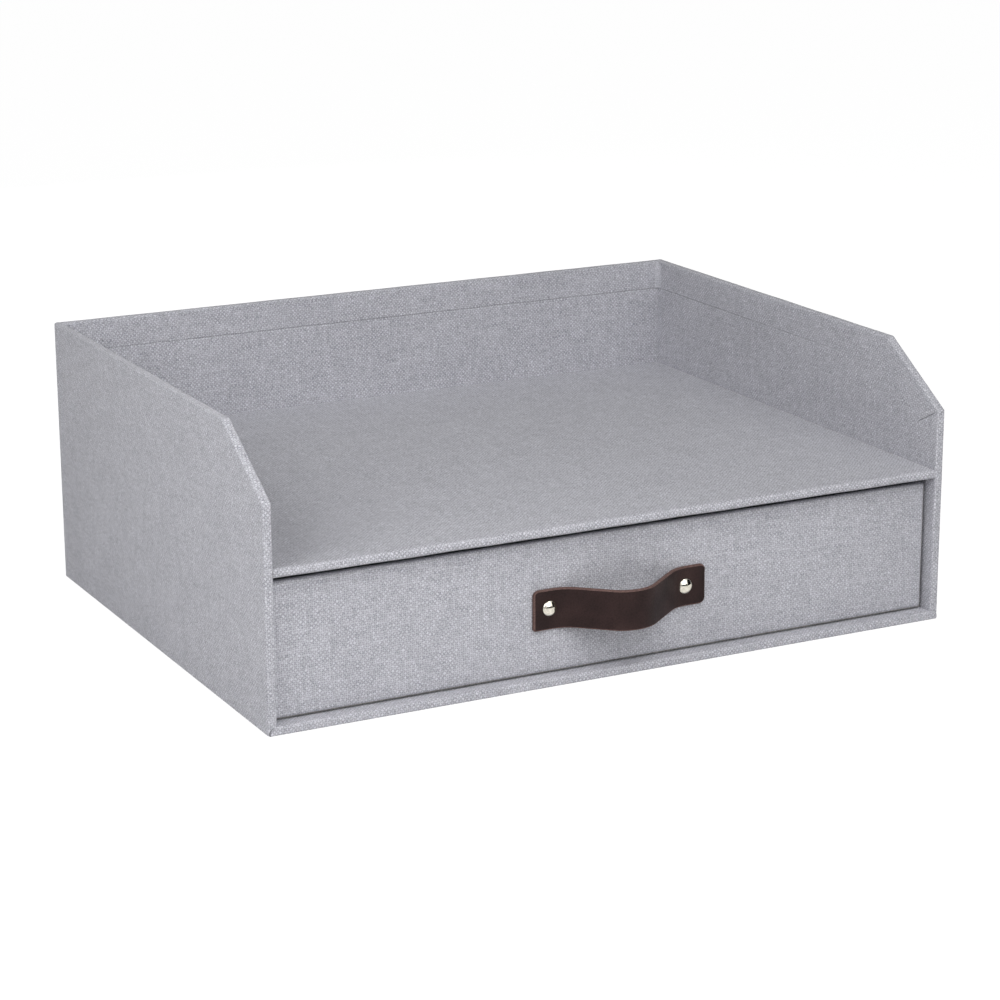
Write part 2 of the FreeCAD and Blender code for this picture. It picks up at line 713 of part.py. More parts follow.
def draw_cap(sketch, seat, socket_end, brim, crown, socket_radius, cap_radius):
    """Half the section of a domed cap: a socket, a flat seat, a low brim and an arc to the top."""
    straight = [
        (crown, "0"),
        (socket_end, "0"),
        (socket_end, socket_radius),
        (seat, socket_radius),
        (seat, cap_radius),
        (brim, cap_radius),
    ]
    points = [FreeCAD.Vector(value(along), value(out), 0) for along, out in straight]
    for start, end in zip(points, points[1:]):
        sketch.addGeometry(Part.LineSegment(start, end), False)
    rise, reach = abs(value(crown) - value(brim)), value(cap_radius)
    dome = (reach ** 2 + rise ** 2) / (2 * rise)
    centre = FreeCAD.Vector(value(crown) + dome, 0, 0)
    half_angle = math.atan2(reach, dome - rise)
    circle = Part.Circle(centre, FreeCAD.Vector(0, 0, 1), dome)
    sketch.addGeometry(Part.ArcOfCircle(circle, math.pi - half_angle, math.pi), False)
    last = len(straight) - 1
    for number in range(last - 1):
        sketch.addConstraint(Sketcher.Constraint("Coincident", number, 2, number + 1, 1))
    sketch.addConstraint(Sketcher.Constraint("Coincident", last - 1, 2, last, 1))
    sketch.addConstraint(Sketcher.Constraint("Coincident", last, 2, 0, 1))
    for number, place in enumerate(straight[:-1]):
        pin(sketch, number, 1, place)
    pin(sketch, last, 1, straight[-1])
    sketch.addConstraint(Sketcher.Constraint("PointOnObject", last, 3, -1))


def turn(body, sketch):
    """Revolve half a section about the rivet's own axis, which is the sketch's level line."""
    feature = body.newObject("PartDesign::Revolution", f"{body.Name}_revolution")
    feature.Profile = sketch
    feature.ReferenceAxis = (sketch, ["H_Axis"])
    feature.Angle = 360.0
    doc.recompute()


def check_all():
    """Stop if any object of the document failed, or a sub-part isn't one sound solid."""
    for item in doc.Objects:
        if {"Invalid", "Error"} & set(item.State):
            raise RuntimeError(f"{item.Label} failed: {item.State}")
    for label, piece in nodes.items():
        shape = piece.Shape
        if shape.isNull() or not shape.isValid() or len(shape.Solids) != 1:
            raise RuntimeError(f"{label} isn't one sound solid")


def write_parts():
    """Write each sub-part to a STEP file named after it."""
    os.makedirs("parts", exist_ok=True)
    for label, piece in nodes.items():
        piece.Shape.exportStep(f"parts/{label}.step")
        box = piece.Shape.BoundBox
        print(f"{label:24s} {piece.Shape.Volume / 1000:9.2f} cm3  z {box.ZMin:7.2f} to {box.ZMax:7.2f}")


side_boards()
case_boards()
wall_cover_cloth()
base_cover_cloth()
tray_floor_cloth()
linings()
drawer_boards()
drawer_cover_cloth()
drawer_linings()
leather_pull()
rivets()
doc.recompute()
check_all()
write_parts()
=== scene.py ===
"""A letter tray with a drawer, in board covered with woven cloth, and a leather pull.

The case and the drawer are boards under a glued cloth. Each cloth is a sheet that is carried
along the rims of its boards: up the outside, over the rim in two folds, and down the inside to
a cut hem. The pull is a strap carried along a line of flats, bends and slopes, and its two
rivets are turned shapes. Everything is in metres: X to the right, Y to the back, Z up.
"""

import logging
import math
from collections.abc import Mapping, Sequence
from dataclasses import dataclass, replace
from enum import Enum

import bmesh
import bpy
import numpy as np
from mathutils import Matrix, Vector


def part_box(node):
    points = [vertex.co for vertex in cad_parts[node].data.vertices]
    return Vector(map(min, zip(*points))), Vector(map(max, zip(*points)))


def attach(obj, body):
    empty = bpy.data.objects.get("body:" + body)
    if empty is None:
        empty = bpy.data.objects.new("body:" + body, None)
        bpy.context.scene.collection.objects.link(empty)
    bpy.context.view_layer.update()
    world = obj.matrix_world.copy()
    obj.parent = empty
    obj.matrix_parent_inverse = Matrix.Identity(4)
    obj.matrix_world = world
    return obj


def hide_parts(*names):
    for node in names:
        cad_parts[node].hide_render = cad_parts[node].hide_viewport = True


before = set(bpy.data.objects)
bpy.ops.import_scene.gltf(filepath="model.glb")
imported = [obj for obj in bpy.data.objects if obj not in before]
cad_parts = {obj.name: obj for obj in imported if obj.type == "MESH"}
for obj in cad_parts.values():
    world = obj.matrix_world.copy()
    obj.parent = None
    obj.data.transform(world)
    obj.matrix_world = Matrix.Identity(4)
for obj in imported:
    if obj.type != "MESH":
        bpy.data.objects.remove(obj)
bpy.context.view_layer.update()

MM = 0.001
X, Y, Z = np.eye(3)
ORGANIC_IOR = 1.45  # Cotton fibre and oiled leather.
SHARP_ANGLE = math.radians(50)
MERGE_DISTANCE = 0.5e-6
FOLD_POINTS = 7
SOFT_HEM = 0.6  # The share of a cut hem's height that is rounded.
FILLET_FROM, SLIT_FROM, INNER_FULL = 0.3 * MM, 0.8 * MM, 2.2 * MM  # Insets on an inner face.
SLIT_OPEN = 0.15 * MM
NO_SLIT = 2.0  # Beyond 1, so a station with this value is clear of any slit.
CORNER_OPEN = 0.65  # How free of the lining a hem stands at an inner corner, from 0 to 1.
STILL_BELOW = 6 * MM  # The ripple fades out from here down to the table.
log = logging.getLogger("desk_tray")


class Body(Enum):
    """The two bodies that pieces ride on."""

    CASE = "case"
    DRAWER = "drawer"


class Slot(Enum):
    """The record's material slots."""

    BOARD = "greyboard"
    CLOTH = "grey_cloth"
    LEATHER = "leather"
    METAL = "nickel"


class Grain(Enum):
    """Which way a cloth's threads run on a piece."""

    SHEET = "the piece's own cloth map"
    UPRIGHT = "upright walls: across is x + y and along is z"
    FLAT = "flat panels: across is x and along is y"


# ---------------------------------------------------------------------------------------------
# Materials
# ---------------------------------------------------------------------------------------------


def linear(code: str) -> tuple[float, float, float, float]:
    """Turn an sRGB colour into Blender's linear one.

    Args:
        code: The colour as six hexadecimal digits after a "#".

    Returns:
        Linear red, green and blue, and an alpha of 1.
    """
    levels = np.array([int(code[i : i + 2], 16) for i in (1, 3, 5)]) / 255
    low, high = levels / 12.92, ((levels + 0.055) / 1.055) ** 2.4
    return (*np.where(levels <= 0.04045, low, high).tolist(), 1.0)


def add(
    tree: bpy.types.NodeTree,
    kind: str,
    inputs: Mapping[str | int, object] | None = None,
    **settings: object,
) -> bpy.types.Node:
    """Add one shader node with its settings, values and links.

    Args:
        tree: The tree that gets the node.
        kind: The node's type name after "ShaderNode".
        inputs: Input names or numbers, each with a value or with a socket to link from.
        **settings: Properties of the node.

    Returns:
        The new node.
    """
    node = tree.nodes.new(f"ShaderNode{kind}")
    for name, setting in settings.items():
        setattr(node, name, setting)
    for name, given in (inputs or {}).items():
        if isinstance(given, bpy.types.NodeSocket):
            tree.links.new(given, node.inputs[name])
        else:
            node.inputs[name].default_value = given
    return node


def ramp(node: bpy.types.Node, stops: Sequence[tuple[float, str]]) -> bpy.types.Node:
    """Set a colour ramp's stops.

    Args:
        node: The ramp.
        stops: Places from 0 to 1, each with an sRGB colour.

    Returns:
        The same node.
    """
    elements = node.color_ramp.elements
    while len(elements) < len(stops):
        elements.new(1.0)
    for element, (place, code) in zip(elements, stops):
        element.position, element.color = place, linear(code)
    return node


def new_material(name: str) -> tuple[bpy.types.Material, bpy.types.NodeTree]:
    """Start a material with an empty node tree.

    Args:
        name: The material's name.

    Returns:
        The material and its tree.
    """
    material = bpy.data.materials.new(name)
    material.use_nodes = True
    material.node_tree.nodes.clear()
    return material, material.node_tree


def end_tree(
    tree: bpy.types.NodeTree,
    colour: bpy.types.NodeSocket,
    relief: tuple[bpy.types.NodeSocket, float, float],
    inputs: Mapping[str, object],
) -> None:
    """End a material's tree with its bump, its surface and the output.

    Args:
        tree: The tree.
        colour: The base colour.
        relief: The bump's height socket, its strength, and its depth in metres.
        inputs: The surface's other values and links.
    """
    height, strength, depth = relief
    bump = add(tree, "Bump", {"Strength": strength, "Distance": depth, "Height": height})
    given = {"Base Color": colour, "Normal": bump.outputs[0], **inputs}
    surface = add(tree, "BsdfPrincipled", given)
    add(tree, "OutputMaterial", {"Surface": surface.outputs[0]})


@dataclass(frozen=True)
class WovenCloth:
    """Bookbinder's canvas: dyed threads in a plain weave, pasted down and pressed.

    To the eye it is matt and speckled. Each crossing is a pale crown between dark gaps, the
    crowns differ because the spun threads are uneven, and the dye clouds a little. The threads
    are 0.95 mm apart.

    Attributes:
        name: The material's name.
        grain: Which way the threads run.
        gap, middle, crown: The colours from the holes up to the tops of the threads: the dye,
        with painted shade darkening the holes.
        shadow: The colour of the painted shade inside a slit and along a tab's edge.
        thread: From one thread to the next.
        wander, wander_scale: How many threads the lines stray, and the noise that they follow.
        swap: How far a crossing's edge is blurred, as a share of the wave.
        base: The tone with nothing added.
        hole_shade: How much darker a hole is, as painted shade.
        warp_weft_shade: How much paler the warp is than the weft, as painted shading of the
        thread tops. The more of it, the more each piece shows its threads as dots.
        slub_tone, slub_length: The difference between threads, and how long one keeps its shade.
        spot_tone: The difference from one crossing to the next.
        cloud_tone, cloud: How much the dye clouds, and how wide its clouds are.
        side_drop: How far a thread's sides fall, as a share of a hole's depth.
        relief, strength: The bump's depth and strength.
        roughness, sheen: The matt surface of spun fibre, with a little fuzz.
    """

    name: str
    grain: Grain = Grain.SHEET
    gap: str = "#626269"
    middle: str = "#AEAEB5"
    crown: str = "#E4E4EA"
    shadow: str = "#333236"
    thread: float = 0.95 * MM
    wander: float = 1.3
    wander_scale: float = 0.4
    swap: float = 0.15
    base: float = 0.37
    hole_shade: float = 0.48
    warp_weft_shade: float = 0.12
    slub_tone: float = 0.24
    slub_length: float = 14 * MM
    spot_tone: float = 0.15
    cloud_tone: float = 0.05
    cloud: float = 30 * MM
    side_drop: float = 0.35
    relief: float = 0.12 * MM
    strength: float = 0.7
    roughness: float = 0.92
    sheen: float = 0.08

    def spread(self, tree: bpy.types.NodeTree) -> bpy.types.NodeSocket:
        """Give the cloth's own coordinates in metres: across the cloth, then along it.

        Args:
            tree: The material's tree.

        Returns:
            A vector socket.
        """
        if self.grain is Grain.SHEET:
            return add(tree, "UVMap", uv_map="cloth").outputs["UV"]
        place = add(tree, "TexCoord").outputs["Object"]
        if self.grain is Grain.FLAT:
            return place
        parts = add(tree, "SeparateXYZ", {0: place}).outputs
        across = add(tree, "Math", {0: parts["X"], 1: parts["Y"]}, operation="ADD").outputs[0]
        return add(tree, "CombineXYZ", {"X": across, "Y": parts["Z"]}).outputs[0]

    def material(self) -> bpy.types.Material:
        """Weave the cloth from sines of its two thread counts.

        With u and v counted in threads, sin(pi u) sin(pi v) is positive where a warp thread is
        on top and negative where a weft thread is. The cloth sinks by (1 - |sin(pi u)|)
        (1 - |sin(pi v)|) into the holes where four crossings meet, and by a third of the one
        factor or the other down the sides of whichever thread is on top.

        Returns:
            The material.
        """
        material, tree = new_material(self.name)
        spread = self.spread(tree)
        count = add(tree, "VectorMath", {0: spread, "Scale": 1 / self.thread}, operation="SCALE")
        drift = add(
            tree,
            "TexNoise",
            {"Vector": count.outputs[0], "Scale": self.wander_scale, "Detail": 1.0},
            noise_dimensions="2D",
        )
        strayed = {
            0: drift.outputs["Color"],
            1: (self.wander, self.wander, 0),
            2: count.outputs[0],
        }
        count = add(tree, "VectorMath", strayed, operation="MULTIPLY_ADD").outputs[0]
        turn = add(tree, "VectorMath", {0: count, "Scale": math.pi}, operation="SCALE")
        wave = add(tree, "VectorMath", {0: turn.outputs[0]}, operation="SINE").outputs[0]
        waves = add(tree, "SeparateXYZ", {0: wave}).outputs
        cross = add(tree, "Math", {0: waves[0], 1: waves[1]}, operation="MULTIPLY").outputs[0]
        change = {"Value": cross, "From Min": -self.swap, "From Max": self.swap}
        warp_on_top = add(tree, "MapRange", change).outputs[0]
        hills = add(tree, "VectorMath", {0: wave}, operation="ABSOLUTE").outputs[0]
        valleys = add(tree, "VectorMath", {0: (1.0,) * 3, 1: hills}, operation="SUBTRACT")
        sides = add(tree, "SeparateXYZ", {0: valleys.outputs[0]}).outputs
        hole = add(tree, "Math", {0: sides[0], 1: sides[1]}, operation="MULTIPLY").outputs[0]
        edge = add(tree, "Mix", {0: warp_on_top, 2: sides[1], 3: sides[0]}, data_type="FLOAT")
        drop = {0: edge.outputs[0], 1: self.side_drop, 2: hole}
        sunk = add(tree, "Math", drop, operation="MULTIPLY_ADD").outputs[0]

        number = add(tree, "VectorMath", {0: count}, operation="FLOOR").outputs[0]
        weft, warp = (self.slubs(tree, count, number, lane) for lane in (1, 0))
        shade = add(tree, "Mix", {0: warp_on_top, 2: weft, 3: warp}, data_type="FLOAT").outputs[0]
        spot = add(tree, "TexWhiteNoise", {"Vector": number}, noise_dimensions="2D").outputs[0]
        clouds = add(
            tree,
            "TexNoise",
            {"Vector": spread, "Scale": 1 / self.cloud, "Detail": 3.0},
            noise_dimensions="2D",
        ).outputs[0]

        # The warp gains what the base loses, so the mean tone stays the same.
        level = self.base - self.warp_weft_shade / 2
        for part, weight in (
            # Painted shade in the holes between the threads.
            (hole, -self.hole_shade),
            (shade, self.slub_tone),
            (spot, self.spot_tone),
            # Painted shading of the thread tops, paler on the warp.
            (warp_on_top, self.warp_weft_shade),
            (clouds, self.cloud_tone),
        ):
            sum_of = {0: part, 1: weight, 2: level}
            level = add(tree, "Math", sum_of, operation="MULTIPLY_ADD").outputs[0]
        stops = [(0.08, self.gap), (0.5, self.middle), (0.92, self.crown)]
        dyed = ramp(add(tree, "ValToRGB", {0: level}), stops).outputs[0]
        # Painted shade in the slits and along the tabs' edges: the painted_shade attribute mixes
        # the cloth toward the shadow colour.
        painted_shade = add(tree, "Attribute", attribute_name="painted_shade").outputs["Fac"]
        tones = {0: painted_shade, 6: dyed, 7: linear(self.shadow)}
        colour = add(tree, "Mix", tones, data_type="RGBA").outputs[2]
        raised = {0: sunk, 1: -1.0, 2: shade}
        height = add(tree, "Math", raised, operation="MULTIPLY_ADD").outputs[0]
        fibre = {"Roughness": self.roughness, "IOR": ORGANIC_IOR, "Sheen Weight": self.sheen}
        end_tree(tree, colour, (height, self.strength, self.relief), fibre)
        return material

    def slubs(
        self,
        tree: bpy.types.NodeTree,
        count: bpy.types.NodeSocket,
        number: bpy.types.NodeSocket,
        lane: int,
    ) -> bpy.types.NodeSocket:
        """Give each thread its own shade by noise that is stretched along it.

        Args:
            tree: The material's tree.
            count: The place, counted in threads.
            number: The same, rounded down.
            lane: The axis that counts the threads: 0 for the warp and 1 for the weft.

        Returns:
            The shade.
        """
        apart, along = 7.3, self.thread / self.slub_length
        step, stretch = (apart, 0, 0), (0, along, 0)
        if lane == 1:
            step, stretch = (0, apart, 0), (along, 0, 0)
        run = add(tree, "VectorMath", {0: count, 1: stretch}, operation="MULTIPLY").outputs[0]
        place = {0: number, 1: step, 2: run}
        lanes = add(tree, "VectorMath", place, operation="MULTIPLY_ADD").outputs[0]
        noise = {"Vector": lanes, "Scale": 1.0, "Detail": 1.0}
        return add(tree, "TexNoise", noise, noise_dimensions="2D").outputs[0]


@dataclass(frozen=True)
class Greyboard:
    """Binder's greyboard: pressed waste paper, matt, with pale and dark fibre flecks."""

    name: str = "pressed_greyboard"
    body: str = "#8E8C88"
    fleck: str = "#6A6864"
    pale: str = "#A7A5A0"
    fibre: float = 1.2 * MM
    relief: float = 0.05 * MM
    strength: float = 0.3
    roughness: float = 0.95

    def material(self) -> bpy.types.Material:
        """Scatter flecks in a matt grey.

        Returns:
            The material.
        """
        material, tree = new_material(self.name)
        place = add(tree, "TexCoord").outputs["Object"]
        speckle = {"Vector": place, "Scale": 1 / self.fibre, "Detail": 4.0}
        noise = add(tree, "TexNoise", speckle).outputs[0]
        stops = [(0.3, self.fleck), (0.5, self.body), (0.72, self.pale)]
        colour = ramp(add(tree, "ValToRGB", {0: noise}), stops).outputs[0]
        relief = (noise, self.strength, self.relief)
        end_tree(tree, colour, relief, {"Roughness": self.roughness})
        return material


@dataclass(frozen=True)
class Leather:
    """Vegetable-tanned cow leather, dyed through and oiled: near black brown with a low sheen.

    The grain side has pebbles about 0.7 mm across, which the eye sees as a soft break in the
    sheen more than as a colour.
    """

    name: str = "oiled_leather"
    deep: str = "#201413"
    face: str = "#2C1D1C"
    worn: str = "#372725"
    pebble: float = 0.7 * MM
    relief: float = 0.05 * MM
    strength: float = 0.5
    pore_scale: float = 0.6  # Pores for each pebble.
    dye_scale: float = 60.0  # Patches of dye for each metre.
    pebble_tone: float = 0.35
    sheen: float = 0.22
    roughness: float = 0.55
    polish: float = 0.07
    dullness: float = 0.12

    def material(self) -> bpy.types.Material:
        """Lay pebbled grain and a slow change of dye over the strap.

        Returns:
            The material.
        """
        material, tree = new_material(self.name)
        place = add(tree, "UVMap", uv_map="cloth").outputs["UV"]
        cells = add(
            tree,
            "TexVoronoi",
            {"Vector": place, "Scale": 1 / self.pebble, "Randomness": 1.0},
            voronoi_dimensions="2D",
            feature="SMOOTH_F1",
        ).outputs["Distance"]
        pores, dye = (
            add(
                tree,
                "TexNoise",
                {"Vector": place, "Scale": scale, "Detail": detail},
                noise_dimensions="2D",
            ).outputs[0]
            for scale, detail in ((self.pore_scale / self.pebble, 5.0), (self.dye_scale, 2.0))
        )
        tone, height = (
            add(tree, "Math", {0: cells, 1: weight, 2: rest}, operation="MULTIPLY_ADD").outputs[0]
            for weight, rest in ((-self.pebble_tone, dye), (-1.0, pores))
        )
        stops = [(0.1, self.deep), (0.4, self.face), (0.75, self.worn)]
        colour = ramp(add(tree, "ValToRGB", {0: tone}), stops).outputs[0]
        low, high = self.roughness - self.polish, self.roughness + self.dullness
        rough = add(tree, "MapRange", {"Value": pores, "To Min": low, "To Max": high}).outputs[0]
        skin = {"Roughness": rough, "IOR": ORGANIC_IOR, "Specular IOR Level": self.sheen}
        end_tree(tree, colour, (height, self.strength, self.relief), skin)
        return material


@dataclass(frozen=True)
class CutLeather:
    """The strap's cut edge: undyed fibre that took the brown less, rough and reddish."""

    name: str = "cut_leather_edge"
    deep: str = "#4A3532"
    fibre: str = "#6E554F"
    strand: float = 0.35 * MM
    relief: float = 0.08 * MM
    strength: float = 0.6
    roughness: float = 0.85

    def material(self) -> bpy.types.Material:
        """Draw fibres that run along the cut.

        Returns:
            The material.
        """
        material, tree = new_material(self.name)
        place = add(tree, "UVMap", uv_map="cloth").outputs["UV"]
        drawn = add(tree, "VectorMath", {0: place, 1: (0.25, 1, 1)}, operation="MULTIPLY")
        strands = {"Vector": drawn.outputs[0], "Scale": 1 / self.strand, "Detail": 4.0}
        noise = add(tree, "TexNoise", strands, noise_dimensions="2D").outputs[0]
        stops = [(0.3, self.deep), (0.7, self.fibre)]
        colour = ramp(add(tree, "ValToRGB", {0: noise}), stops).outputs[0]
        relief = (noise, self.strength, self.relief)
        end_tree(tree, colour, relief, {"Roughness": self.roughness})
        return material


@dataclass(frozen=True)
class NickelPlate:
    """Polished nickel plate over a pressed cap: a warm mirror with faint polishing haze."""

    name: str = "nickel_plate"
    metal: str = "#E3DED2"
    haze: str = "#D2CCBE"
    roughness: float = 0.16
    polish: float = 0.04
    dullness: float = 0.06
    patches: float = 900.0  # Patches of haze for each metre.
    relief: float = 0.01 * MM
    strength: float = 0.08

    def material(self) -> bpy.types.Material:
        """Polish the cap, with a little haze in patches about a millimetre across.

        Returns:
            The material.
        """
        material, tree = new_material(self.name)
        place = add(tree, "TexCoord").outputs["Object"]
        smears = {"Vector": place, "Scale": self.patches, "Detail": 3.0}
        noise = add(tree, "TexNoise", smears).outputs[0]
        stops = [(0.35, self.haze), (0.65, self.metal)]
        colour = ramp(add(tree, "ValToRGB", {0: noise}), stops).outputs[0]
        low, high = self.roughness - self.polish, self.roughness + self.dullness
        rough = add(tree, "MapRange", {"Value": noise, "To Min": low, "To Max": high}).outputs[0]
        relief = (noise, self.strength, self.relief)
        end_tree(tree, colour, relief, {"Metallic": 1.0, "Roughness": rough})
        return material


# ---------------------------------------------------------------------------------------------
# Meshes
# ---------------------------------------------------------------------------------------------


@dataclass(frozen=True)
class Patch:
    """A grid of points on a surface, each with its place on the flat material.

    Attributes:
        points: Rows by columns by 3. A face's outside is where row step x column step points.
        spread: Rows by columns by 2, in metres on the flat material.
        finish: Which of the piece's materials the patch takes.
        painted_shade: Rows by columns, or one value: 1 for full painted shade in a slit or along
            a
        cut edge, else 0.
    """

    points: np.ndarray
    spread: np.ndarray
    finish: int = 0
    painted_shade: np.ndarray | float = 0.0

    def faces(self, first: int) -> np.ndarray:
        """Number the corners of the grid's quads.

        Args:
            first: The number of the patch's first point.

        Returns:
            Quads by 4 corner numbers.
        """
        rows, columns = self.points.shape[:2]
        number = first + np.arange(rows * columns).reshape(rows, columns)
        corners = (number[:-1, :-1], number[1:, :-1], number[1:, 1:], number[:-1, 1:])
        return np.stack([corner.ravel() for corner in corners], axis=1)


def unevenness(points: np.ndarray, height: float = 0.1 * MM) -> np.ndarray:
    """Give the slow ripple that paste and hand pressing leave in a cloth-covered board.

    Each direction is a sum of two products of sines of the place, 37 to 82 mm long, so pieces
    that touch are moved together.

    Args:
        points: Places, with x, y and z in the last axis.
        height: The largest move.

    Returns:
        The move of each point.
    """
    x, y, z = np.moveaxis(points, -1, 0) / MM
    slow = np.sin(x / 13.1 + 0.4) * np.sin(y / 10.7 + 1.1) * np.cos(z / 9.3)
    quick = np.sin(x / 5.9 + z / 7.3) * np.cos(y / 6.7 - z / 8.9 + 0.8)
    other = np.cos(x / 8.3 - 0.9) * np.cos(y / 7.7 + z / 11.9)
    return height * np.stack(
        [0.6 * slow + 0.4 * other, 0.6 * other + 0.4 * quick, 0.5 * slow + 0.5 * quick], axis=-1
    )


def crisp_rims(mesh: bpy.types.Mesh) -> None:
    """Mark a sheet's open edges as sharp, so that its cut edge doesn't round its shading.

    Args:
        mesh: The mesh, which already has its sharp edges.
    """
    edge_of = np.empty(len(mesh.loops), np.int32)
    mesh.loops.foreach_get("edge_index", edge_of)
    used = np.bincount(edge_of, minlength=len(mesh.edges))
    sharp = mesh.attributes.get("sharp_edge") or mesh.attributes.new(
        "sharp_edge", "BOOLEAN", "EDGE"
    )
    marks = np.empty(len(mesh.edges), bool)
    sharp.data.foreach_get("value", marks)
    sharp.data.foreach_set("value", marks | (used == 1))


def build_mesh(name: str, patches: Sequence[Patch]) -> bpy.types.Object:
    """Join patches into one mesh object, merged where they meet.

    Args:
        name: The object's name.
        patches: The grids of the piece.

    Returns:
        The object, in the scene and at the origin.
    """
    points = np.concatenate([patch.points.reshape(-1, 3) for patch in patches])
    spread = np.concatenate([patch.spread.reshape(-1, 2) for patch in patches])
    sizes = [patch.points.shape[0] * patch.points.shape[1] for patch in patches]
    starts = np.concatenate([[0], np.cumsum(sizes)[:-1]])
    faces = [patch.faces(start) for patch, start in zip(patches, starts)]
    finishes = [np.full(len(f), patch.finish) for f, patch in zip(faces, patches)]
    painted_shades = [(patch.points[..., 0] * 0 + patch.painted_shade).ravel() for patch in patches]
    corners = np.concatenate(faces)
    mesh = bpy.data.meshes.new(name)
    mesh.from_pydata(points, [], corners)
    mesh.polygons.foreach_set("material_index", np.concatenate(finishes).astype(np.int32))
    mesh.polygons.foreach_set("use_smooth", np.ones(len(corners), bool))
    layer = mesh.uv_layers.new(name="cloth")
    layer.uv.foreach_set("vector", spread[corners.ravel()].astype(np.float32).ravel())
    painted_shade = mesh.attributes.new("painted_shade", "FLOAT", "POINT")
    painted_shade.data.foreach_set("value", np.concatenate(painted_shades).astype(np.float32))
    work = bmesh.new()
    work.from_mesh(mesh)
    bmesh.ops.remove_doubles(work, verts=work.verts, dist=MERGE_DISTANCE)
    bmesh.ops.dissolve_degenerate(work, edges=work.edges, dist=MERGE_DISTANCE)
    work.to_mesh(mesh)
    work.free()
    mesh.set_sharp_from_angle(angle=SHARP_ANGLE)
    crisp_rims(mesh)
    piece = bpy.data.objects.new(name, mesh)
    bpy.context.scene.collection.objects.link(piece)
    return piece


def dress(
    piece: bpy.types.Object,
    body: Body,
    materials: Sequence[bpy.types.Material],
    replaced: Sequence[str] = (),
) -> bpy.types.Object:
    """Give a new piece its materials and its body, and hide the CAD nodes that it stands for.

    Args:
        piece: The piece, in place.
        body: What it rides on.
        materials: Its materials, in the order of its patches' finishes.
        replaced: The CAD nodes that it replaces.

    Returns:
        The piece.
    """
    for material in materials:
        piece.data.materials.append(material)
    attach(piece, body.value)
    if replaced:
        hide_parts(*replaced)
    return piece


def thicken(piece: bpy.types.Object, thickness: float) -> None:
    """Give a sheet its thickness, on the inner side.

    Args:
        piece: The sheet.
        thickness: In metres.
    """
    solidify = piece.modifiers.new("thickness", "SOLIDIFY")
    solidify.thickness = thickness
    solidify.offset = -1.0


def repaint(node: str, material: bpy.types.Material) -> None:
    """Give a CAD node that stays in view another material in all its slots.

    Args:
        node: The node's name.
        material: Its new material.
    """
    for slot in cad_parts[node].material_slots:
        slot.material = material
    log.info("%s: CAD node in %s", node, material.name)


def spaced(length: float, step: float, margin: float = 0.8 * MM) -> np.ndarray:
    """Place fractions along a straight, with an extra one close to each end.

    The extra ones keep a fold's shading out of the flat next to it.

    Args:
        length: The straight's length.
        step: The widest spacing wanted.
        margin: How far the extra places are from the ends, up to a fifth of the length.

    Returns:
        Fractions from 0 to 1.
    """
    near = min(margin / length, 0.2)
    inner = np.linspace(near, 1 - near, max(int(round(length / step)), 2))
    return np.concatenate([[0.0], inner, [1.0]])


def ease(value: np.ndarray, low: float, high: float) -> np.ndarray:
    """Rise smoothly from 0 at low to 1 at high, by 3 t squared - 2 t cubed."""
    t = np.clip((value - low) / (high - low), 0, 1)
    return t * t * (3 - 2 * t)


@dataclass(frozen=True)
class Section:
    """A cloth's line across a rim, from the outside to the inside of a wall.

    Attributes:
        inset: How far each point is in from the rim.
        across: How far each point is through the wall from its outer face.
        reach: The length along the cloth, 0 at the edge of the rim's plane.
        inside: 0 on the outer face and rim, rising to 1 on the inner face.
        slit: The same, but starting to rise further in.
        shut: Points by (inset, across) where the hem is pressed against the lining.
    """

    inset: np.ndarray
    across: np.ndarray
    reach: np.ndarray
    inside: np.ndarray
    slit: np.ndarray
    shut: np.ndarray

    @classmethod
    def through(
        cls, places: np.ndarray, origin: float, wall: float, shut: np.ndarray | None = None
    ) -> "Section":
        """Make a section from its points.

        Args:
            places: Points by (inset, across).
            origin: The reach of the first point.
            wall: The wall's thickness.
            shut: The points where the hem is pressed against the lining, if they differ.

        Returns:
            The section.
        """
        steps = np.hypot(*np.diff(places, axis=0).T)
        reach = origin + np.concatenate([[0], np.cumsum(steps)])
        inset, across = places.T
        inside, slit = (
            np.where(across > wall / 2, ease(inset, start, INNER_FULL), 0)
            for start in (FILLET_FROM, SLIT_FROM)
        )
        return cls(inset, across, reach, inside, slit, places if shut is None else shut)


def quarter(centre: tuple[float, float], radius: float, start: float) -> np.ndarray:
    """Give a fold's points, centre + radius (cos a, sin a), a from start to 90 degrees less."""
    angle = np.radians(np.linspace(start, start - 90, FOLD_POINTS))
    return np.stack([centre[0] + radius * np.cos(angle), centre[1] + radius * np.sin(angle)], 1)


def straight(start: tuple[float, float], end: tuple[float, float], step: float) -> np.ndarray:
    """Give a straight run of a section, without its two ends.

    Args:
        start: Its first (inset, across).
        end: Its last.
        step: The spacing.

    Returns:
        Points by 2.
    """
    length = math.dist(start, end)
    near = min(0.5 * MM, length / 6)
    part = spaced(length, step, near)[1:-1, None]
    return np.asarray(start) * (1 - part) + np.asarray(end) * part


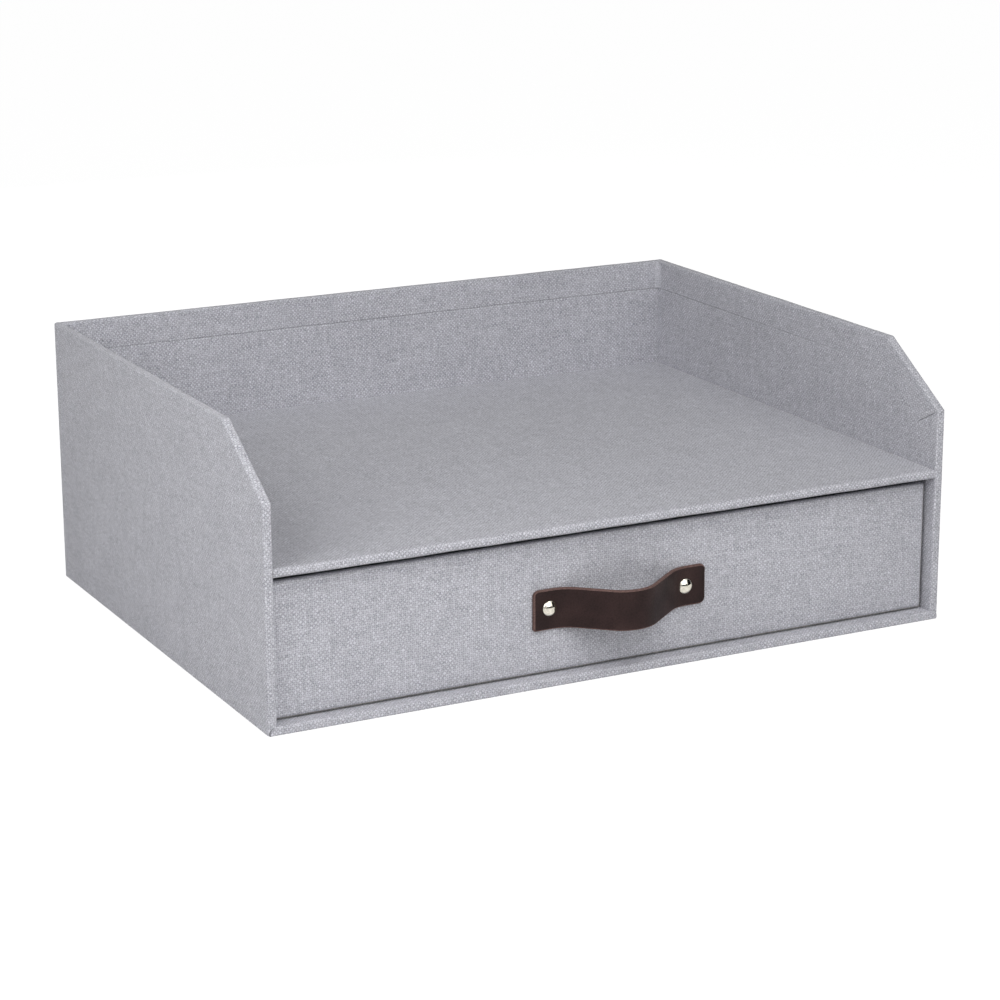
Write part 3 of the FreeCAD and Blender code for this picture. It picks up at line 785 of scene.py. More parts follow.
def rim_section(
    wall: float, fold: float, turn_in: float, hem: float, gap: float = 0.0
) -> Section:
    """Carry a cloth over a rim: outer fold, flat, inner fold, turn-in, cut hem.

    Args:
        wall: The covered wall's thickness.
        fold: The folds' radius.
        turn_in: How far the cloth goes down inside.
        hem: The cut edge's height.
        gap: The gap to the lining where the hem isn't pressed against it.

    Returns:
        The section.
    """
    soft, rim_step, down_step = SOFT_HEM * hem, 0.8 * MM, 2.5 * MM
    places = np.concatenate(
        [
            quarter((fold, fold), fold, 270),
            straight((0, fold), (0, wall - fold), rim_step),
            quarter((fold, wall - fold), fold, 180),
            straight((fold, wall), (turn_in - soft, wall), down_step),
            quarter((turn_in - soft, wall - soft), soft, 90),
            [[turn_in, wall - hem]],
        ]
    )
    shut, edge = places.copy(), slice(-1 - FOLD_POINTS, -1)
    shut[edge, 0] = np.linspace(turn_in - soft, turn_in + gap / 2, FOLD_POINTS)
    shut[edge, 1] = wall
    shut[-1, 0] = turn_in + gap / 2
    return Section.through(places, -fold, wall, shut)


@dataclass(frozen=True)
class Rim:
    """Stations along a rim, as arrays with one row for each.

    A point that is p in from the rim and q through the wall is at
    corner + max(p, a) inward + max(a - p, 0) outward + max(q, b) through + max(b - q, 0) side,
    where a rounds the rim's own corners and b the wall's upright edges.

    Attributes:
        corner: Where the rim's line and the wall's outer face meet.
        inward: The step for 1 of inset, longer at a mitre.
        outward: The direction that a rounded rim corner faces here.
        rim_radius: a.
        through: The step for 1 through the wall, longer at a mitre.
        side: The direction that a rounded upright edge faces here.
        side_radius: b.
        spot: The corner's place on the flat cloth.
        spot_inward, spot_outward, spot_through: The same steps on the flat cloth.
        slit: -1 to 1 across a slit in the turn-in, or beyond 1 where there is none.
        slit_run: The direction across the slit.
        fillet: The move of the turned-in cloth where it bridges an inner corner.
        open: 1 where the hem stands free of the lining, and 0 where it is pressed against it.
    """

    corner: np.ndarray
    inward: np.ndarray
    outward: np.ndarray
    rim_radius: np.ndarray
    through: np.ndarray
    side: np.ndarray
    side_radius: np.ndarray
    spot: np.ndarray
    spot_inward: np.ndarray
    spot_outward: np.ndarray
    spot_through: np.ndarray
    slit: np.ndarray
    slit_run: np.ndarray
    fillet: np.ndarray
    open: np.ndarray

    @staticmethod
    def join(*rims: "Rim") -> "Rim":
        """Put rims one after the other."""
        names = Rim.__dataclass_fields__
        return Rim(*(np.concatenate([getattr(rim, name) for rim in rims]) for name in names))

    def mirrored(self, width: float) -> "Rim":
        """Give the other side's rim, in the order that carries on from this one.

        Args:
            width: The length of flat cloth between the two sides' origins.

        Returns:
            The mirrored rim.
        """
        flip = np.array([-1, 1, 1])
        turned = {}
        for name in ("corner", "inward", "outward", "through", "side", "slit_run", "fillet"):
            turned[name] = getattr(self, name) * flip
        for name in ("spot_inward", "spot_outward", "spot_through"):
            turned[name] = getattr(self, name) * [-1, 1]
        turned["spot"] = [width, 0] + self.spot * [-1, 1]
        turned["slit"] = -self.slit
        turned["slit_run"] = -turned["slit_run"]
        kept = {name: getattr(self, name) for name in Rim.__dataclass_fields__}
        return Rim(**{name: value[::-1] for name, value in (kept | turned).items()})

    def points(self, section: Section, slit_depth: float = 0.0) -> np.ndarray:
        """Carry a section along the stations, by the formula above.

        Args:
            section: The section.
            slit_depth: How deep a slit in the turn-in is.

        Returns:
            Section points by stations by 3.
        """
        free = np.stack([section.inset, section.across], axis=-1)
        place = section.shut[:, None] + self.open[:, None] * (free - section.shut)[:, None]
        p, q = place[..., :1], place[..., 1:]
        inside = section.inside[:, None, None]
        a, b = self.rim_radius[:, None], self.side_radius[:, None]
        place = self.corner + np.maximum(p, a) * self.inward
        place = place + np.maximum(a - p, 0) * self.outward
        place = place + np.maximum(q, b) * self.through + np.maximum(b - q, 0) * self.side
        place = place + inside * self.fillet
        slit, cut = self.slit[:, None], section.slit[:, None, None]
        groove = np.clip(1 - np.abs(slit), 0, 1)
        opened = np.where(np.abs(slit) <= 1, slit, 0) * SLIT_OPEN
        return place + cut * (opened * self.slit_run - slit_depth * groove * self.through)

    def painted_shade(self, section: Section) -> np.ndarray:
        """Give the painted shade inside a slit, as section points by stations by 1."""
        groove = np.clip(1 - np.abs(self.slit), 0, 1)
        return (section.slit[:, None] * groove)[..., None]

    def spread(self, section: Section) -> np.ndarray:
        """Unfold the same points onto the flat cloth.

        A point is at spot + p inward + max(q, b) through + (p + reach) outward, which is its
        reach out from the rim's line, and across it what a mitre adds.

        Args:
            section: The section.

        Returns:
            Section points by stations by 2.
        """
        p, q = section.inset[:, None, None], section.across[:, None, None]
        reach = section.reach[:, None, None]
        return (
            self.spot
            + p * self.spot_inward
            + np.maximum(q, self.side_radius[:, None]) * self.spot_through
            + (p + reach) * self.spot_outward
        )

    @staticmethod
    def refined(grid: np.ndarray, spans: Sequence[np.ndarray]) -> np.ndarray:
        """Add columns between the stations of a grid, on the straight from one to the next.

        Args:
            grid: Rows by stations by anything.
            spans: For each gap between stations, the fractions of its columns but the last.

        Returns:
            The grid with its new columns.
        """
        first = np.concatenate([np.full(len(part), i) for i, part in enumerate(spans)])
        part = np.concatenate(spans)[:, None]
        between = grid[:, first] * (1 - part) + grid[:, first + 1] * part
        return np.concatenate([between, grid[:, -1:]], axis=1)

    def spans(self, step: float) -> list[np.ndarray]:
        """Choose the columns between stations: many on a straight, none round a corner.

        Args:
            step: The spacing on straights.

        Returns:
            For each gap, fractions from 0 to below 1.
        """
        lengths = np.linalg.norm(np.diff(self.corner, axis=0), axis=1)
        return [
            spaced(length, step)[:-1] if length > MM else np.zeros(1) for length in lengths
        ]


def mitre(first: np.ndarray, second: np.ndarray) -> np.ndarray:
    """Give a corner's inward step, - (n1 + n2) / (1 + n1 . n2), which moves both edges by 1."""
    return -(first + second) / (1 + first @ second)


def fan(first: np.ndarray, second: np.ndarray, steps: int) -> np.ndarray:
    """Turn one unit vector into another in equal angles.

    At a share t of the angle w between them it is (sin((1 - t) w) a + sin(t w) b) / sin w.

    Args:
        first: The first direction.
        second: The last direction.
        steps: The number of directions.

    Returns:
        Steps by 3.
    """
    whole = math.acos(float(first @ second))
    part = np.linspace(0, 1, steps)[:, None]
    return (np.sin((1 - part) * whole) * first + np.sin(part * whole) * second) / math.sin(whole)


def in_wall(
    corner: np.ndarray,
    inward: np.ndarray,
    outward: np.ndarray,
    radius: float,
    spot: tuple[float, float],
    slit: bool = False,
    opened: float = 0.0,
) -> Rim:
    """Give stations of a left wall's rim that lie in the wall's plane.

    Args:
        corner: Where the rim is, or its sharp corner.
        inward: The step for 1 of inset.
        outward: The outward direction of each station.
        radius: How round the corner is.
        spot: Its place on the flat cloth.
        slit: Whether the turn-in is slit here.
        opened: How far the hem stands free, from 0 to 1.

    Returns:
        The stations.
    """
    steps = len(outward)
    ones = np.ones((steps, 1))
    run = np.cross(X, inward / np.linalg.norm(inward))
    return Rim(
        corner=ones * corner,
        inward=ones * inward,
        outward=outward,
        rim_radius=np.full(steps, radius),
        through=ones * X,
        side=ones * 0 * X,
        side_radius=np.zeros(steps),
        spot=ones * spot,
        spot_inward=ones * inward[1:],
        spot_outward=outward[:, 1:],
        spot_through=ones * [0.0, 0.0],
        slit=np.linspace(-1, 1, steps) if slit else np.full(steps, NO_SLIT),
        slit_run=ones * run,
        fillet=ones * 0 * X,
        open=np.full(steps, opened),
    )


def upright_corner(
    corner: np.ndarray,
    first: np.ndarray,
    second: np.ndarray,
    radius: float,
    spot: tuple[float, float],
    bridge: float = 0.0,
    lump: float = 0.0,
    steps: int = 6,
) -> Rim:
    """Turn a rim from one wall to the next round an upright edge.

    At a share t of the turn, the rim is raised by lump sin(pi t)^2, and the turned-in cloth is
    moved by - bridge (t first + (1 - t) second), which is a straight cut across the corner.

    Args:
        corner: The sharp corner.
        first: The outward direction before it.
        second: The outward direction after it.
        radius: How round the upright edge is.
        spot: Its place on the flat cloth.
        bridge: How far from the inner corner the turned-in cloth starts to cut across it.
        lump: How much the gathered cloth raises the rim at the corner.
        steps: The number of stations.

    Returns:
        The corner's stations.
    """
    ones = np.ones((steps, 1))
    part = np.linspace(0, 1, steps)[:, None]
    return Rim(
        corner=ones * corner + lump * np.sin(math.pi * part) ** 2 * Z,
        inward=ones * -Z,
        outward=ones * Z,
        rim_radius=np.zeros(steps),
        through=ones * mitre(first, second),
        side=fan(first, second, steps),
        side_radius=np.full(steps, radius),
        spot=ones * spot,
        spot_inward=ones * [0.0, -1.0],
        spot_outward=ones * [0.0, 1.0],
        spot_through=np.concatenate([2 * part - 1, 0 * part], axis=1),
        slit=np.full(steps, NO_SLIT),
        slit_run=ones * 0 * X,
        fillet=-bridge * (part * first + (1 - part) * second),
        open=np.full(steps, CORNER_OPEN),
    )


def level_field(
    edge: np.ndarray, spread: np.ndarray, level: float, parts: np.ndarray, upwards: bool
) -> Patch:
    """Fill an upright wall between a level line and an edge above it, in straight rows.

    Args:
        edge: The edge's points, columns by 3.
        spread: Their places on the flat cloth.
        level: The height of the level line.
        parts: The rows' fractions from the level line to the edge.
        upwards: Whether the rows run up, as on an outer face, or down, as on an inner one.

    Returns:
        The patch.
    """
    foot, foot_spread = edge.copy(), spread.copy()
    foot[:, 2] = level
    foot_spread[:, 1] -= edge[:, 2] - level
    rows = (parts if upwards else parts[::-1])[:, None, None]
    return Patch(foot * (1 - rows) + edge * rows, foot_spread * (1 - rows) + spread * rows)


def carried(profile: np.ndarray, reach: np.ndarray, places: np.ndarray) -> Patch:
    """Carry a line in the YZ plane straight along X.

    Args:
        profile: The line's points by (y, z).
        reach: Each one's length along the cloth.
        places: X for each row and column, rows by columns.

    Returns:
        The patch, facing the left of the line when it is seen from the right end.
    """
    rows, columns = places.shape
    ones = np.ones((1, columns))
    points = np.stack([places, profile[:, :1] * ones, profile[:, 1:] * ones], axis=-1)
    return Patch(points, np.stack([places, reach[:, None] * ones], axis=-1))


def rippled(patch: Patch) -> Patch:
    """Move a patch by the cloth's unevenness, but not where it stands on the table."""
    free = ease(patch.points[..., 2:], 0.0, STILL_BELOW)
    return replace(patch, points=patch.points + free * unevenness(patch.points))


# ---------------------------------------------------------------------------------------------
# The case
# ---------------------------------------------------------------------------------------------


@dataclass(frozen=True)
class CaseSizes:
    """The covered case's main places, from the frame."""

    half: float
    front: float
    back: float
    top: float
    room_half: float
    room_back: float
    tray_floor: float
    bay_top: float
    bay_floor: float

    @classmethod
    def from_frame(cls) -> "CaseSizes":
        """Read them from the CAD nodes' boxes.

        Returns:
            The sizes.
        """
        low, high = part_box("wall_cover_cloth")
        tray_low, tray_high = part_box("tray_floor_cloth")
        bay_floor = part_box("bay_floor_cloth")[1].z
        return cls(
            half=high.x,
            front=low.y,
            back=high.y,
            top=high.z,
            room_half=tray_high.x,
            room_back=tray_high.y,
            tray_floor=tray_high.z,
            bay_top=tray_low.z,
            bay_floor=bay_floor,
        )

    @property
    def wall(self) -> float:
        """The covered wall's thickness."""
        return self.half - self.room_half


@dataclass
class WallCover:
    """The cloth round both sides and the back, and the lining that butts against it inside.

    The base's cloth lies under its foot. The hem is pressed against the lining at the chamfer's
    lower end, stands a little free (hem_open) at its upper end, and more at the back corners.
    The gathered cloth raises the rim at each back corner by a lump, and bridges the corner
    inside. A slit parts the turned-in cloth at the chamfer's lower end, with shade painted inside
    it by slit_shade.
    """

    sizes: CaseSizes
    cloth: bpy.types.Material
    chamfer_run: float = 41 * MM
    chamfer_drop: float = 26 * MM
    fold: float = 1.0 * MM
    corner_steps: int = 5
    upright_radius: float = 2.2 * MM
    turn_in: float = 14 * MM
    hem: float = 0.4 * MM
    hem_open: float = 0.2
    gap: float = 0.2 * MM
    bridge: float = 2.2 * MM
    lump: float = 0.12 * MM
    slit_depth: float = 0.5 * MM
    slit_shade: float = 0.35
    foot: float = 0.45 * MM
    thickness: float = 0.4 * MM
    step: float = 2.8 * MM

    def rim(self, foot: float) -> Rim:
        """Lay out the rim's stations: up the left front, round the back, down the right front.

        Args:
            foot: The level that the front edges start from.

        Returns:
            The stations.
        """
        size = self.sizes
        slope = np.array([0, -self.chamfer_drop, self.chamfer_run])
        slope = slope / np.linalg.norm(slope)
        chamfer_foot = size.top - self.chamfer_drop
        chamfer_head = size.front + self.chamfer_run
        left = np.array([-size.half, 0, 0])

        def spot(y: float, z: float) -> tuple[float, float]:
            """Give the flat cloth's place: along from the back corner, and the height."""
            return (y - size.back, z)

        side = Rim.join(
            in_wall(
                left + size.front * Y + foot * Z, Y, -Y[None], 0.0, spot(size.front, foot)
            ),
            in_wall(
                left + size.front * Y + chamfer_foot * Z,
                mitre(-Y, slope),
                fan(-Y, slope, self.corner_steps),
                self.fold,
                spot(size.front, chamfer_foot),
                slit=True,
            ),
            in_wall(
                left + chamfer_head * Y + size.top * Z,
                mitre(slope, Z),
                fan(slope, Z, self.corner_steps),
                self.fold,
                spot(chamfer_head, size.top),
                opened=self.hem_open,
            ),
            upright_corner(
                left + size.back * Y + size.top * Z,
                -X,
                Y,
                self.upright_radius,
                spot(size.back, size.top),
                self.bridge,
                self.lump,
            ),
        )
        return Rim.join(side, side.mirrored(2 * size.half))

    def carry(
        self, rim: Rim, section: Section, level: float, outer: bool, slit_depth: float = 0.0
    ) -> list[Patch]:
        """Carry a section round the rim, and fill the walls from it down to a level.

        Args:
            rim: The stations, from one front edge to the other.
            section: The section.
            level: The level that the walls' cloth goes down to.
            outer: Whether it hangs from the section's first points, outside, or its last.
            slit_depth: How deep the slits are.

        Returns:
            The field and the band.
        """
        spans = rim.spans(self.step)
        band = rim.refined(rim.points(section, slit_depth), spans)
        spread = rim.refined(rim.spread(section), spans)
        # Painted shade inside the slits.
        dark = self.slit_shade * rim.refined(rim.painted_shade(section), spans)[..., 0]
        row, ends = (0 if outer else -1), len(spans[0])
        columns = slice(ends, band.shape[1] - ends)
        parts = np.append(spans[0], 1.0)
        field = level_field(band[row, columns], spread[row, columns], level, parts, outer)
        return [rippled(field), rippled(Patch(band, spread, painted_shade=dark))]

    def cover(self) -> bpy.types.Object:
        """Make the wrap: a field on the outer faces, and a band carried over the rims.

        Returns:
            The wrap.
        """
        section = rim_section(self.sizes.wall, self.fold, self.turn_in, self.hem, self.gap)
        rim = self.rim(self.foot)
        patches = self.carry(rim, section, self.foot, True, self.slit_depth)
        piece = build_mesh("wall_wrap", patches)
        thicken(piece, self.thickness)
        return dress(piece, Body.CASE, [self.cloth], ["wall_cover_cloth"])

    def lining(self) -> bpy.types.Object:
        """Make the tray's lining, from a soft cut edge by the turn-in down to the tray floor.

        Returns:
            The lining.
        """
        size, straight_run = self.sizes, 0.5 * MM
        edge, soft = self.turn_in + self.gap, SOFT_HEM * self.hem
        places = np.concatenate(
            [
                [[edge, size.wall - self.hem]],
                quarter((edge + soft, size.wall - soft), soft, 180),
                [[edge + soft + straight_run, size.wall]],
            ]
        )
        shut, fold = places.copy(), slice(1, 1 + FOLD_POINTS)
        shut[: fold.stop, 0] = self.turn_in + self.gap / 2
        shut[fold, 0] += np.linspace(0, soft, FOLD_POINTS)
        shut[fold, 1] = size.wall
        section = Section.through(places, size.wall + edge, size.wall, shut)
        still = np.zeros(len(places))
        section = replace(section, reach=-section.inset, inside=still, slit=still)
        patches = self.carry(self.rim(size.tray_floor), section, size.tray_floor, False)
        piece = build_mesh("tray_lining", patches[::-1])
        thicken(piece, self.thickness)
        return dress(piece, Body.CASE, [self.cloth], ["tray_wall_lining"])


@dataclass
class TrayFloor:
    """The tray's floor cloth: over the shelf, round its front edge and turned in below."""

    sizes: CaseSizes
    cloth: bpy.types.Material
    fold: float = 1.6 * MM
    turn_under: float = 16 * MM
    hem: float = 0.3 * MM
    thickness: float = 0.4 * MM
    step: float = 3 * MM

    def cover(self) -> bpy.types.Object:
        """Carry the shelf's line, back to front and under, from wall to wall.

        Returns:
            The floor's cloth.
        """
        size = self.sizes
        thick = size.tray_floor - size.bay_top
        deep = size.room_back - size.front
        over = rim_section(thick, self.fold, self.turn_under, self.hem)
        flat = spaced(deep - self.fold, self.step)[:-1]
        inset = np.concatenate([deep - flat * (deep - self.fold), over.inset])
        level = size.tray_floor - np.concatenate([0 * flat, over.across])
        profile = np.stack([size.front + inset, level], axis=1)
        reach = np.concatenate([-inset[: len(flat)], over.reach])
        across = (2 * spaced(2 * size.room_half, self.step) - 1) * size.room_half
        patch = carried(profile, reach, np.ones((len(profile), 1)) * across)
        piece = build_mesh("tray_floor_wrap", [rippled(patch)])
        thicken(piece, self.thickness)
        return dress(piece, Body.CASE, [self.cloth], ["tray_floor_cloth"])


@dataclass
class BaseCover:
    """The base's cloth: turned in on the bay floor, over the front lip, and under the case.

    In front it laps over the side walls' feet in two rounded tabs.

    Attributes:
        sizes: The case's sizes.
        cloth: Its material.
        fold: The radius of its folds over the lip.
        turn_over: How far it is turned in on the bay floor.
        hem: Its cut edge's height.
        proud: How far the lip's cloth stands in front of the walls.
        tab_width, tab_level: How wide a tab is, and the level of its widest place.
        foot_round, foot_draw: How low and by how much a tab's foot is drawn in.
        tab_margin, tab_steps: The width at each end with close columns, and how many.
        lip_steps: The columns' places between them.
        settle_from, settle_to: How far in from the case's side a tab sinks to the wall.
        settle_left: How far it then still stands out.
        seam_share, seam_from: The share of the close columns that the painted shade along a tab's
            edge takes, and how wide the tab is where it starts, from 0 to 1.
        left_dark, right_dark: How dark that painted shade is on each side.
        thickness, step: The cloth's thickness, and its rows' spacing under the case.
    """

    sizes: CaseSizes
    cloth: bpy.types.Material
    fold: float = 1.0 * MM
    turn_over: float = 22 * MM
    hem: float = 0.2 * MM
    proud: float = 0.35 * MM
    tab_width: float = 3.7 * MM
    tab_level: float = 1.6 * MM
    foot_round: float = 0.9 * MM
    foot_draw: float = 0.5 * MM
    tab_margin: float = 4.4 * MM
    tab_steps: int = 12
    lip_steps: int = 110
    settle_from: float = 0.9 * MM
    settle_to: float = 0.2 * MM
    settle_left: float = 0.05 * MM
    seam_share: float = 0.1
    seam_from: float = 0.25
    left_dark: float = 0.65
    right_dark: float = 0.15
    thickness: float = 0.3 * MM
    step: float = 6 * MM

    def line(self) -> tuple[np.ndarray, np.ndarray]:
        """Lay out the cloth's line, from the bay floor over the lip and back under the case.

        Returns:
            Points by (y, z), and each one's length along the cloth.
        """
        size = self.sizes
        over = rim_section(size.bay_floor, self.fold, self.turn_over, self.hem)
        y = size.front - self.proud + over.inset[::-1]
        under = spaced(size.back - y[-1], self.step)[1:]
        low = np.stack([y[-1] + under * (size.back - y[-1]), 0 * under], 1)
        profile = np.concatenate([np.stack([y, over.across[::-1]], axis=1), low])
        steps = np.hypot(*np.diff(profile, axis=0).T)
        return profile, np.concatenate([[0], np.cumsum(steps)])

    def cover(self) -> bpy.types.Object:
        """Carry the lip's line and widen it over the feet by a quarter ellipse.

        With t from 0 at the tab's widest level to 1 at its top, the tab is sqrt(1 - t^2) of its
        width.

        Returns:
            The base's cloth.
        """
        size = self.sizes
        profile, reach = self.line()
        fall = (profile[:, 1] - self.tab_level) / (size.bay_floor - self.tab_level)
        bulge = np.sqrt(1 - np.clip(fall, 0, 1) ** 2)
        foot = np.clip(1 - profile[:, 1] / self.foot_round, 0, 1)
        half = size.room_half + self.tab_width * bulge - self.foot_draw * foot**2
        margin = self.tab_margin / size.half
        ends = np.linspace(1 - margin, 1, self.tab_steps)
        inner = np.linspace(-(1 - margin), 1 - margin, self.lip_steps)[1:-1]
        part = np.concatenate([-ends[::-1], inner, ends])
        patch = carried(profile, reach, half[:, None] * part)
        from_middle = np.abs(patch.points[..., :1])
        past = ease(from_middle, size.half - self.settle_from, size.half - self.settle_to)
        in_front = patch.points[..., 1:2] < size.front
        settled = patch.points + past * in_front * (self.proud - self.settle_left) * Y
        # Painted shade along each tab's edge: strong on the left and faint on the right.
        on_seam = np.abs(part) > 1 - self.seam_share * margin
        seam_shade = on_seam * np.where(part < 0, self.left_dark, self.right_dark)
        on_tab = (bulge > self.seam_from)[:, None]
        piece = build_mesh(
            "base_wrap", [rippled(replace(patch, points=settled, painted_shade=seam_shade * on_tab))]
        )
        thicken(piece, self.thickness)
        return dress(piece, Body.CASE, [self.cloth], ["base_cover_cloth"])


# ---------------------------------------------------------------------------------------------
# The drawer
# ---------------------------------------------------------------------------------------------


@dataclass
class DrawerCover:
    """The drawer's cloth: one wrap round four walls, over their rims and under its foot.

    A sheet covers the wrap's turned-under edge. The wrap is set pushed_left of its bay's middle,
    because a loose drawer is seldom pushed in quite straight.
    """

    cloth: bpy.types.Material
    upright_radius: float = 1.3 * MM
    fold: float = 1.0 * MM
    foot_fold: float = 1.5 * MM
    turn_in: float = 15 * MM
    hem: float = 0.4 * MM
    thickness: float = 0.4 * MM
    sheet: float = 0.45 * MM
    sheet_inset: float = 3.2 * MM
    sheet_columns: int = 40
    sheet_rows: int = 30
    pushed_left: float = 0.4 * MM
    step: float = 2.8 * MM

    def section(self, height: float, wall: float) -> Section:
        """Start under the wall, fold up the outside, and go over the rim.

        Args:
            height: The drawer's height.
            wall: Its covered wall's thickness.

        Returns:
            The section.
        """
        turn, past_fold = self.foot_fold, 0.5 * MM
        over = rim_section(wall, self.fold, self.turn_in, self.hem)
        foot = np.concatenate(
            [
                [[height, wall], [height, turn + past_fold]],
                quarter((height - turn, turn), turn, 0),
                straight((height - turn, 0), (self.fold, 0), self.step),
            ]
        )
        places = np.concatenate([foot, np.stack([over.inset, over.across], axis=1)])
        whole = Section.through(places, 0.0, wall)
        origin = whole.reach[len(foot)] + self.fold
        still = np.zeros(len(foot))
        return replace(
            whole,
            reach=whole.reach - origin,
            inside=np.concatenate([still, over.inside]),
            slit=np.concatenate([still, over.slit]),
        )

    def cover(self) -> bpy.types.Object:
        """Carry the section round the drawer's four upright edges.

        Returns:
            The wrap.
        """
        low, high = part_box("drawer_cover_cloth")
        wall = high.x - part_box("drawer_floor_lining")[1].x
        wide, deep = high.x - low.x, high.y - low.y
        turns = [
            ((high.x, low.y), X, -Y, 0.0),
            ((low.x, low.y), -Y, -X, wide),
            ((low.x, high.y), -X, Y, wide + deep),
            ((high.x, high.y), Y, X, 2 * wide + deep),
            ((high.x, low.y), X, -Y, 2 * (wide + deep)),
        ]
        rim = Rim.join(
            *(
                upright_corner(
                    np.array([*place, high.z]),
                    first,
                    second,
                    self.upright_radius,
                    (along, high.z),
                )
                for place, first, second, along in turns
            )
        )
        spans = rim.spans(self.step)
        section = self.section(high.z - low.z - self.sheet, wall)
        band = rim.refined(rim.points(section), spans) - self.pushed_left * X
        spread = rim.refined(rim.spread(section), spans)
        piece = build_mesh("drawer_wrap", [rippled(Patch(band, spread))])
        thicken(piece, self.thickness)
        return dress(piece, Body.DRAWER, [self.cloth], ["drawer_cover_cloth"])

    def underside(self) -> bpy.types.Object:
        """Lay the sheet under the drawer, cut smaller than the drawer's foot.

        Returns:
            The sheet.
        """
        low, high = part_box("drawer_underside_sheet")
        inset = self.sheet_inset
        x = np.linspace(low.x + inset, high.x - inset, self.sheet_columns)
        y = np.linspace(low.y + inset, high.y - inset, self.sheet_rows)
        across, deep = np.meshgrid(x, y[::-1])
        points = np.stack([across, deep, low.z + 0 * across], axis=-1)
        piece = build_mesh("underside_sheet", [Patch(points, points[..., :2])])
        thicken(piece, self.sheet)
        return dress(piece, Body.DRAWER, [self.cloth], ["drawer_underside_sheet"])


